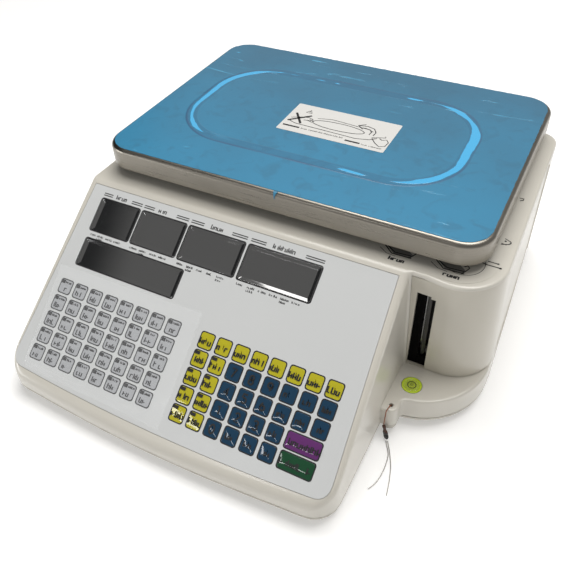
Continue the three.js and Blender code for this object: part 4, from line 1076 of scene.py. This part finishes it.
def keypads():
    """Both membrane pads: outlines, domed keys by colour, corner flags and plain legends."""
    domes = {name: Solid() for name in ("key_grey", "key_yellow", "key_blue", "key_purple", "key_green")}
    outlines = on_panel(0.06)
    grey_marks = on_panel(KEY_STEP + 0.06)
    colour_marks = on_panel(KEY_STEP + KEY_BUBBLE + 0.04)
    for pad, colour_pad in ((GREY_PAD, False), (COLOUR_PAD, True)):
        (left, top), (step_u, step_v), (wide, tall) = pad["at"], pad["pitch"], pad["key"]
        reach, line = pad["reach"], pad["line"]
        for row in range(PAD_ROWS):
            for column in range(PAD_COLUMNS):
                name = key_colour(row, column) if colour_pad else "key_grey"
                double = name in ("key_purple", "key_green")
                if double and column == PAD_COLUMNS - 1:
                    continue
                u0 = left + column * step_u
                u1 = u0 + wide + (step_u if double else 0)
                v1 = top - row * step_v
                v0 = v1 - tall
                outlines.patch(rounded(u0 - reach, v0 - reach, u1 + reach, v1 + reach, KEY_CORNER, 4))
                bulge = KEY_BUBBLE if colour_pad and row > 1 and 1 < column < 7 else KEY_FLAT
                key_dome(domes[name], u0 + line, v0 + line, u1 - line, v1 - line, bulge)
                marks = colour_marks if colour_pad else grey_marks
                key_legend(marks, name, row, column, (u0, v0, u1, v1))
    printed("key_outlines", outlines, "housing", "key_outline", "overlay_film")
    for name, solid in domes.items():
        piece(f"{name}_domes", solid, "housing", [name], slot="overlay_film", sharp=60)
    printed("grey_key_legends", grey_marks, "housing", "print_black", "overlay_film")
    printed("colour_key_legends", colour_marks, "housing", "print_black", "overlay_film")


def key_legend(ink, name, row, column, box):
    """A corner flag and greeked words on most keys, a digit on ten of the blue ones."""
    u0, v0, u1, v1 = box
    middle = (u0 + u1) / 2
    if name == "key_grey":
        ink.bar(u0 + 1.2, v1 - 4.4, u0 + 5.0, v1 - 1.3)
        ink.words(u0 + 6.0, v1 - 3.9, 5.6, 2.0, 0.36)
        ink.words(middle - 3.6, v0 + 2.4, 7.4, 4.4, 0.24)
    elif name == "key_blue":
        if (row, column) in DIGITS:
            digit_strokes(ink, DIGITS[row, column], middle, v0 + 3.4, 7.0)
        else:
            ink.words(middle - 3.6, v0 + 4.2, 7.6, 4.4, 0.26)
    else:
        if row and column < 2:
            ink.bar(u0 + 1.0, v1 - 3.6, u0 + 5.6, v1 - 1.0)
        ink.words(u0 + 1.4, v0 + 3.8, u1 - u0 - 2.4, 4.8, 0.24)


def display_captions(ink):
    """Greeked captions between pairs of fine rules above each display, and small marks below."""
    for name, (u0, u1, v0, v1) in WINDOWS.items():
        if name.endswith("message"):
            continue
        width = u1 - u0
        caption = width * (0.26 if width < 60 else 0.3)
        middle = (u0 + u1) / 2 - width * 0.04
        for level in (v1 + 3.1, v1 + 5.0):
            ink.stroke([(u0, level), (middle - caption / 2 - width * 0.10, level)], 0.85)
            ink.stroke([(middle + caption / 2 + width * 0.14, level), (u1, level)], 0.85)
        ink.words(middle - caption / 2, v1 + 2.4, caption, 4.0, 0.22)
        marks = max(3, round(width / 12))
        for i in range(marks):
            spot = u0 + 2 + i * (width - 6) / marks
            ink.words(spot, v0 - 4.6, width / marks * 0.62, 1.9, 0.26)
            if i % 3 == 1:
                ink.words(spot, v0 - 7.4, width / marks * 0.5, 1.9, 0.26)


def keypad_panel():
    """The printed overlay with its display windows."""
    film = prism(overlay_outline(0), panel, -OVERLAY_DEPTH, 0)
    sheet = bare_object("keypad_overlay_sheet", film.mesh("sheet"))
    carve(sheet, [prism(window_outline(name, 0), panel, -3, 2) for name in WINDOWS], "DIFFERENCE")
    finish_piece(sheet, "housing", ["overlay_film"], stands_for=["keypad_overlay"], sharp=30)
    frames = on_panel(PRINT_LIFT)
    for name in WINDOWS:
        outer, inner = (
            frames.ring([panel(u, v, PRINT_LIFT) for u, v in window_outline(name, margin, 5)])
            for margin in (0.8, -0.1)
        )
        frames.bridge(outer, inner)
    printed("display_frames", frames, "housing", "print_black", "overlay_film")
    captions = on_panel(PRINT_LIFT)
    display_captions(captions)
    printed("display_captions", captions, "housing", "print_black", "overlay_film")
    for name in WINDOWS:
        display_pane(name)


def display_pane(name):
    """A smoked window with a raised rim and a bevel down to its sunken face."""
    section = ((0.2, -2.6), (0.2, -0.25), (0.45, -0.12), (0.8, -0.2), (3.2, -1.25), (3.7, -1.32))
    window = Solid()
    levels = [window.ring([panel(u, v, w) for u, v in window_outline(name, -inset)]) for inset, w in section]
    for i, (lower, upper) in enumerate(zip(levels, levels[1:])):
        window.bridge(lower, upper, mark=1 if i else 0)
    window.face(reversed(levels[0]))
    window.face(levels[-1])
    piece(f"{name}_pane", window, "housing", ["window_plastic", "window_edge"], stands_for=[name], sharp=50)


def keypad_cover():
    """A loose clear film over the grey pad: a slightly uneven skirt round a raised, flat middle."""
    noise = random.Random(5)
    corners = [(-31, 82), (-24, -13.5), (122, -17), (121, 84)]
    steps = 24
    outline = []
    for (u0, v0), (u1, v1) in zip(corners, corners[1:] + corners[:1]):
        outline += [(u0 + (u1 - u0) * i / steps, v0 + (v1 - v0) * i / steps) for i in range(steps)]
    flat = rounded(-26, -10.5, 108, 76, 3, 5)
    ridge = rounded(-24.6, -9.2, 106.6, 74.6, 3, 5)

    def nearest(ring, spot):
        return min(ring, key=lambda p: (p[0] - spot[0]) ** 2 + (p[1] - spot[1]) ** 2)

    skirt = [panel(u, v, 0.42 + noise.uniform(0, 0.12)) for u, v in outline]
    foot = [panel(*nearest(flat, spot), 0.45) for spot in outline]
    brow = [panel(*nearest(ridge, spot), 1.1 + noise.uniform(-0.06, 0.1)) for spot in outline]
    solid = Solid()
    levels = [solid.ring(level) for level in (skirt, foot, brow)]
    for lower, upper in zip(levels, levels[1:]):
        solid.bridge(lower, upper)
    solid.face(levels[-1])
    cover = piece("keypad_cover_film", solid, "housing", ["clear_film"], stands_for=["keypad_cover"],
                  sharp=25)
    cover.visible_shadow = False


# ---------------------------------------------------------------- platter
def platter_ring(inset, z, steps=12):
    """The platter's outline, moved in by inset, at a height."""
    x0, y0, x1, y1 = PLATTER
    outline = rounded(x0 + inset, y0 + inset, x1 - inset, y1 - inset, PLATTER_CORNER - inset, steps)
    return [(x, y, z) for x, y in outline]


def platter_pan():
    """The pressed steel pan: hemmed lower edge, upright skirt and a full roll into the flat top."""
    sheet, roll = PLATTER_SHEET, PLATTER_ROLL
    bottom = PLATTER_TOP - PLATTER_SKIRT
    centre = PLATTER_TOP - roll
    inner_roll = roll - sheet
    angles = [math.radians(90 * i / 6) for i in range(7)]
    inside = [(sheet + inner_roll * (1 - math.cos(a)), centre + inner_roll * math.sin(a)) for a in angles]
    rings = inside[::-1]
    rings += [(sheet, bottom + 1.6), (sheet + 0.5, bottom + 1.0), (sheet + 0.3, bottom + 0.2)]
    rings += [(sheet * 0.5, bottom), (0.1, bottom + 0.3), (0, bottom + 1.0)]
    rings += [(roll * (1 - math.cos(a)), centre + roll * math.sin(a)) for a in angles]
    rings += [(roll + 1.5, PLATTER_TOP)]
    solid = lofted([platter_ring(inset, z) for inset, z in rings])
    piece("platter_pan", solid, "platter", ["brushed_steel"], stands_for=["platter"], sharp=50)


def film_sheet():
    """The blue protective film: a ragged trimmed edge and two torn shreds in the middle of the front."""
    noise = random.Random(3)
    spacing = 2.5
    outline = []
    ring = rounded(*FILM, FILM_CORNER, 10)
    for (x0, y0), (x1, y1) in zip(ring, ring[1:] + ring[:1]):
        count = max(1, round(math.dist((x0, y0), (x1, y1)) / spacing))
        outline += [(x0 + (x1 - x0) * i / count, y0 + (y1 - y0) * i / count) for i in range(count)]
    cx, cy = (FILM[0] + FILM[2]) / 2, (FILM[1] + FILM[3]) / 2
    ragged = []
    for x, y in outline:
        pull = 1 + noise.uniform(-0.0022, 0.0004) * (1.6 if y > 150 else 1)
        ragged.append((cx + (x - cx) * pull, cy + (y - cy) * pull))
    solid = prism(ragged, upright, PLATTER_TOP + 0.05, FILM_TOP)
    # Each shred's root, how far it drifts from straight ahead, and how far it hangs down.
    shreds = [((-3.4, -35.4), (0.9, -0.4), 5.5), ((-1.6, -35.2), (-0.5, -0.3), 2.4)]
    for (x, y), (dx, dy), drop in shreds:
        rings = []
        for t in (0, 0.35, 0.7, 1):
            width = 1.1 * (1 - 0.7 * t)
            out = y - 2.9 * math.sin(t * 1.5) + dy * t
            spot = Vector((x + dx * t, out, FILM_TOP - 0.05 - drop * t * t))
            corners = ((-width, -0.12, 0.1), (width, -0.12, 0.1), (width, 0.1, -0.05), (-width, 0.1, -0.05))
            rings.append([spot + Vector(step) for step in corners])
        solid.loft(rings)
    piece("platter_film_sheet", solid, "platter", ["protective_film"], stands_for=["platter_film"], sharp=40)


def platter_sticker():
    """A plain paper label with generic line pictures of a plate, a lifting hand and a curved arrow."""
    solid = prism(rounded(*PLATTER_LABEL, 1.5, 4), upright, FILM_TOP + 0.05, LABEL_TOP - 0.03)
    piece("platter_label_paper", solid, "platter", ["label_paper"], stands_for=["platter_label"])
    ink = on_level(LABEL_TOP)
    ink.stroke([(-37, 92), (-31, 92), (-34, 97.5)], 1.1, closed=True)
    ink.stroke([(-34, 93.3), (-34, 95.6)], 0.9)
    ink.stroke([(-47, 72), (-29, 88)], 2.3)
    ink.stroke([(-45, 88), (-33, 71)], 2.3)
    ink.stroke([(-46, 78), (-38, 82), (-30, 84), (-25, 82), (-27, 79), (-33, 78)], 0.9)
    ink.stroke([(-30, 79), (-24, 77), (-23, 79.5), (-28, 81)], 0.9)
    ink.ellipse((2, 79), 26, 6.4, 0.9)
    ink.stroke([(-22, 86), (-8, 89.5), (30, 86.5), (35, 84)], 0.75)
    ink.stroke([(-45, 72.5), (-38, 69.6), (24, 67), (36, 70), (42, 75)], 0.9)
    ink.stroke([(37, 78), (37.5, 84), (34, 89.5), (27, 91.5), (19, 90)], 1)
    ink.stroke([(33, 78), (33.5, 83), (31, 86.5), (26, 87.6), (23, 87.2)], 1)
    ink.stroke([(24, 85), (18, 89.8), (24, 94)], 1.2)
    ink.stroke([(37, 74), (43, 77), (49, 79), (48, 81)], 0.9)
    ink.stroke([(38, 73), (43, 67), (48, 63), (53, 65), (54, 72), (51, 76), (47, 74), (44, 76)], 0.9)
    ink.bar(-47.5, 62.4, -30.5, 64.6)
    ink.words(-28.5, 62.4, 43, 2.1, 0.2)
    ink.bar(16.5, 59.6, 31, 61.8)
    ink.words(33, 59.2, 19, 1.9, 0.2)
    printed("platter_label_print", ink, "platter", "print_black", "label_paper")


def deck_sticker():
    """The clear instruction label on the deck: line pictures of opening and closing the door."""
    solid = prism(rounded(*DECK_LABEL, DECK_LABEL_CORNER, 10), upright, DECK + 0.04, DECK + 0.2)
    piece("deck_label_sheet", solid, "housing", ["shell_plastic"], stands_for=["deck_label"],
          slot="label_paper")
    ink = on_level(DECK + 0.24)
    tone = on_level(DECK + 0.22)
    for x in (98, 140):
        tone.patch([(x - 6, -26), (x + 3, -35), (x + 17, -34.6), (x + 18, -31), (x + 12, -26)])
        ink.stroke([(x - 4, -28), (x + 4, -33.4), (x + 17, -32.4)], 1.1)
        ink.stroke([(x - 7, -27), (x + 2, -35.6), (x + 18, -35.2)], 1.1)
        ink.stroke([(x + 16, -36), (x + 18.6, -31), (x + 20, -27), (x + 18, -25), (x + 16, -27)], 0.9)
        ink.stroke([(x - 9, -32), (x - 2, -37), (x + 5.7, -38)], 0.5)
        ink.words(x + 2, -43.4, 15, 4.4, 0.3)
    ink.ellipse((154.5, -20.5), 15.6, 16.4, 0.5, -122, 20)
    for y, start, end in ((-13, 170.6, 178.4), (-17.3, 169.4, 181.3)):
        ink.stroke([(start, y), (end, y)], 1.1)
        ink.ellipse((end, y), 0.4, 0.4, 1.1, steps=10)
    ink.stroke([(166.5, -16.4), (171, -17.4)], 0.9)
    ink.stroke([(175.6, 20.1), (180.8, 17.6), (181.4, 15.8), (179.6, 13.6), (174.2, 11.6)], 0.9)
    ink.stroke([(174.2, 13.2), (178.6, 12.4)], 0.8)
    ink.ellipse((176.8, 16.9), 0.5, 0.5, 0.9, steps=10)
    ink.stroke([(173.4, 80.4), (177.2, 80.6), (177, 78), (174.6, 76.6)], 0.9)
    printed("deck_label_tone", tone, "housing", "print_grey", "label_paper")
    printed("deck_label_print", ink, "housing", "print_black", "label_paper")


# ---------------------------------------------------------------- level and seal
def spirit_level():
    """A round bubble level: tinted cup and rim, lens, printed ring and the bubble's outline."""
    z = FLANGE_TOP
    r = LEVEL_RADIUS
    rim = Solid()
    rim.lathe(LEVEL, [
        (r - 0.4, z - 1.6), (r, z - 1.2), (r, z + 0.1), (r - 0.3, z + 0.4), (r - 1.1, z + 0.4),
        (r - 1.5, z + 0.05), (r - 1.7, z - 0.5), (r - 2.4, z - 0.8),
    ])
    piece("level_cup_body", rim, "housing", ["level_plastic"], stands_for=["level_cup"], sharp=60)
    lens = Solid()
    lens.lathe(LEVEL, [
        (r - 2.3, z - 0.5), (r - 2.0, z - 0.3), (r - 2.2, z - 0.02), (r - 3.2, z + 0.16), (r - 5, z + 0.26),
        (0.6, z + 0.3),
    ])
    piece("level_lens_dome", lens, "housing", ["level_lens"], stands_for=["level_lens"], sharp=60)
    marks = on_level(z + 0.36)
    marks.ellipse(LEVEL, 3.5, 3.5, 0.7)
    marks.ellipse((LEVEL[0] - 0.2, LEVEL[1] + 0.3), 1.2, 0.9, 0.35, steps=16)
    printed("level_ring_mark", marks, "housing", "print_black", "level_plastic")


WIRE_DIAMETER = 0.8
SEAL_TOP = Vector((129.8, -106.1, 14.4))
SEAL_BOTTOM = Vector((134.9, -110.3, 2.4))
# Points along the middle of each wire.
WIRE_ROUTES = {
    "seal_wire": [
        (131.7, -96.9, 20), (131.7, -96.9, 26), (131.7, -96.9, 31.2), (131.6, -97.4, 32.4),
        (131.4, -98.6, 32.9), (130.9, -100.8, 32.8), (130.5, -103.1, 32.9), (130.3, -104.3, 32.4),
        (130.1, -104.8, 31.2), (129.9, -104.9, 27), (129.7, -105, 22), (129.6, -105.4, 18),
        (129.7, -105.9, 15),
    ],
    "seal_tail_left": [
        (134.7, -111.3, 1.7), (135.6, -112.8, 0.9), (137, -115.1, 0.5), (139, -118.4, 0.5),
        (140.8, -122, 0.5), (141.8, -126, 0.5), (142.4, -131, 0.5), (142.7, -137, 0.5), (142.5, -143, 0.5),
        (141.6, -149, 0.5), (140, -154, 0.5), (137.8, -158.4, 0.5),
    ],
    "seal_tail_right": [
        (136, -110.7, 1.7), (136.9, -112.1, 0.9), (138.2, -114.3, 0.5), (140.1, -117.6, 0.5),
        (142, -121.4, 0.5), (144, -125.6, 0.5), (146, -130, 0.5), (148, -136, 0.5), (149.9, -143, 0.5),
        (151.4, -150, 0.5), (152.8, -157.3, 0.5),
    ],
}


def flowing(points, samples=4):
    """Points along a centripetal Catmull-Rom curve through the given ones."""
    knots = [Vector(p) for p in points]
    knots = [knots[0] * 2 - knots[1], *knots, knots[-1] * 2 - knots[-2]]
    result = []
    for a, b, c, d in zip(knots, knots[1:], knots[2:], knots[3:]):
        t1 = (b - a).length ** 0.5
        t2 = t1 + (c - b).length ** 0.5
        t3 = t2 + (d - c).length ** 0.5
        for i in range(samples):
            t = t1 + (t2 - t1) * i / samples
            ab = a.lerp(b, t / t1)
            bc = b.lerp(c, (t - t1) / (t2 - t1))
            cd = c.lerp(d, (t - t2) / (t3 - t2))
            abc = ab.lerp(bc, t / t2)
            bcd = bc.lerp(cd, (t - t1) / (t3 - t1))
            result.append(abc.lerp(bcd, (t - t1) / (t2 - t1)))
    return [*result, knots[-2]]


def seal_body_piece():
    """The crimped seal: a narrow sleeve, two press marks and a fuller rounded end."""
    axis = SEAL_BOTTOM - SEAL_TOP
    along = axis.normalized()
    thin = (Vector((0, 1, 0)) - along * along.y).normalized()
    wide = along.cross(thin)
    # How far along the axis, half the width and half the thickness there.
    sections = [
        (0, 0.9, 0.7), (0.02, 1.5, 0.95), (0.10, 1.75, 1.05), (0.20, 1.6, 0.95), (0.27, 1.3, 0.7),
        (0.34, 1.5, 0.85), (0.42, 2.0, 1.05), (0.52, 2.35, 1.15), (0.60, 2.3, 0.95), (0.66, 2.2, 0.75),
        (0.72, 2.3, 0.95), (0.80, 2.3, 1.15), (0.90, 1.95, 1.0), (0.97, 1.3, 0.7), (1.0, 0.6, 0.35),
    ]
    solid = lofted([
        [SEAL_TOP + axis * t + wide * a * c + thin * b * s for c, s in circle(20)]
        for t, a, b in sections
    ])
    return piece("seal_crimp", solid, "housing", ["seal_plastic"], stands_for=["seal_body"], sharp=60)


def seal():
    """The sealing wire and its two tails are cords; the crimp sits on the wire."""
    crimp = seal_body_piece()
    for name, route in WIRE_ROUTES.items():
        points = [p * MM for p in flowing(route)]
        line = bpy.data.curves.new(f"{name}_strand", "CURVE")
        line.dimensions = "3D"
        line.bevel_depth = WIRE_DIAMETER / 2 * MM
        line.bevel_resolution = 3
        line.use_fill_caps = True
        spline = line.splines.new("POLY")
        spline.points.add(len(points) - 1)
        for knot, point in zip(spline.points, points):
            knot.co = (*point, 1)
        strand = bare_object(f"{name}_strand", line)
        whole = name == "seal_wire"
        finish = "seal_wire_brown" if whole else "seal_wire_grey"
        line.materials.append(FINISH[finish])
        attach(strand, "housing")
        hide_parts(name)
        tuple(points[0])
        sum((b - a).length for a, b in zip(points, points[1:]))


# ---------------------------------------------------------------- parts kept from the CAD frame
SOFT_EDGE = 0.25
SOFT_ANGLE = math.radians(38)


def dress_frame():
    """Every CAD node that still shows gets its slot's finish, softened edges and clean shading."""
    for part in frame["record"]["subparts"]:
        node = frame["nodes"][part["node"]]
        for place in node.material_slots:
            place.link = "OBJECT"
            place.material = FINISH[part["material_slot"]]
        bevel = node.modifiers.new("soften", "BEVEL")
        bevel.width = SOFT_EDGE * MM
        bevel.segments = 2
        bevel.limit_method = "ANGLE"
        bevel.angle_limit = SOFT_ANGLE
        node.modifiers.new("weighted", "WEIGHTED_NORMAL")


# ---------------------------------------------------------------- studio
WARM_WHITE = (1.0, 0.985, 0.96)


def lamp(name, place, aim, size, power, color=(1, 1, 1)):
    """An area light. Places and sizes are in metres."""
    light = bpy.data.lights.new(name, "AREA")
    light.shape = "RECTANGLE"
    light.size, light.size_y = size
    light.energy = power
    light.color = color
    holder = bare_object(name, light)
    holder.location = place
    holder.rotation_euler = (Vector(aim) - Vector(place)).to_track_quat("-Z", "Y").to_euler()


def studio():
    """A pale, faintly self-lit floor, an even room that is dark on its far left, and three soft lights."""
    half = 6
    ground = bpy.data.meshes.new("floor")
    ground.from_pydata([(x, y, 0) for x, y in rectangle(-half, -half, half, half)], [], [(0, 1, 2, 3)])
    floor = bare_object("floor", ground)
    moulded("floor_paper", (0.90, 0.90, 0.90), 0.9, spread=0.0,
            Emission_Color=(1, 1, 1, 1), Emission_Strength=0.22)
    ground.materials.append(FINISH["floor_paper"])
    world = bpy.data.worlds.new("room")
    bpy.context.scene.world = world
    world.use_nodes = True
    tree = world.node_tree
    sky = tree.nodes["Background"]
    place = tree.nodes.new("ShaderNodeTexCoord")
    split = tree.nodes.new("ShaderNodeSeparateXYZ")
    dim = tree.nodes.new("ShaderNodeMapRange")
    tree.links.new(place.outputs["Generated"], split.inputs[0])
    tree.links.new(split.outputs["X"], dim.inputs["Value"])
    for socket, value in {"From Min": -0.60, "From Max": -0.56, "To Min": 0.02, "To Max": 0.34}.items():
        dim.inputs[socket].default_value = value
    tree.links.new(dim.outputs["Result"], sky.inputs["Strength"])
    sky.inputs["Color"].default_value = (*WARM_WHITE, 1)
    middle = (0, 0, 0.1)
    lamp("overhead", (0.1, 0.45, 1.9), middle, (1.7, 1.2), 34, WARM_WHITE)
    lamp("front_left", (-1.9, -1.3, 0.35), middle, (1.2, 0.5), 12)
    lamp("tube", (-0.46, -1.12, 0.97), middle, (0.5, 0.03), 0.9)
    bpy.context.scene.view_settings.view_transform = "Standard"


# ---------------------------------------------------------------- assembly
camera()
make_finishes()
seal()
dress_frame()
top_housing()
printer_door()
label_throat()
peel_bar()
keypad_panel()
keypads()
keypad_cover()
platter_pan()
film_sheet()
platter_sticker()
deck_sticker()
spirit_level()
studio()
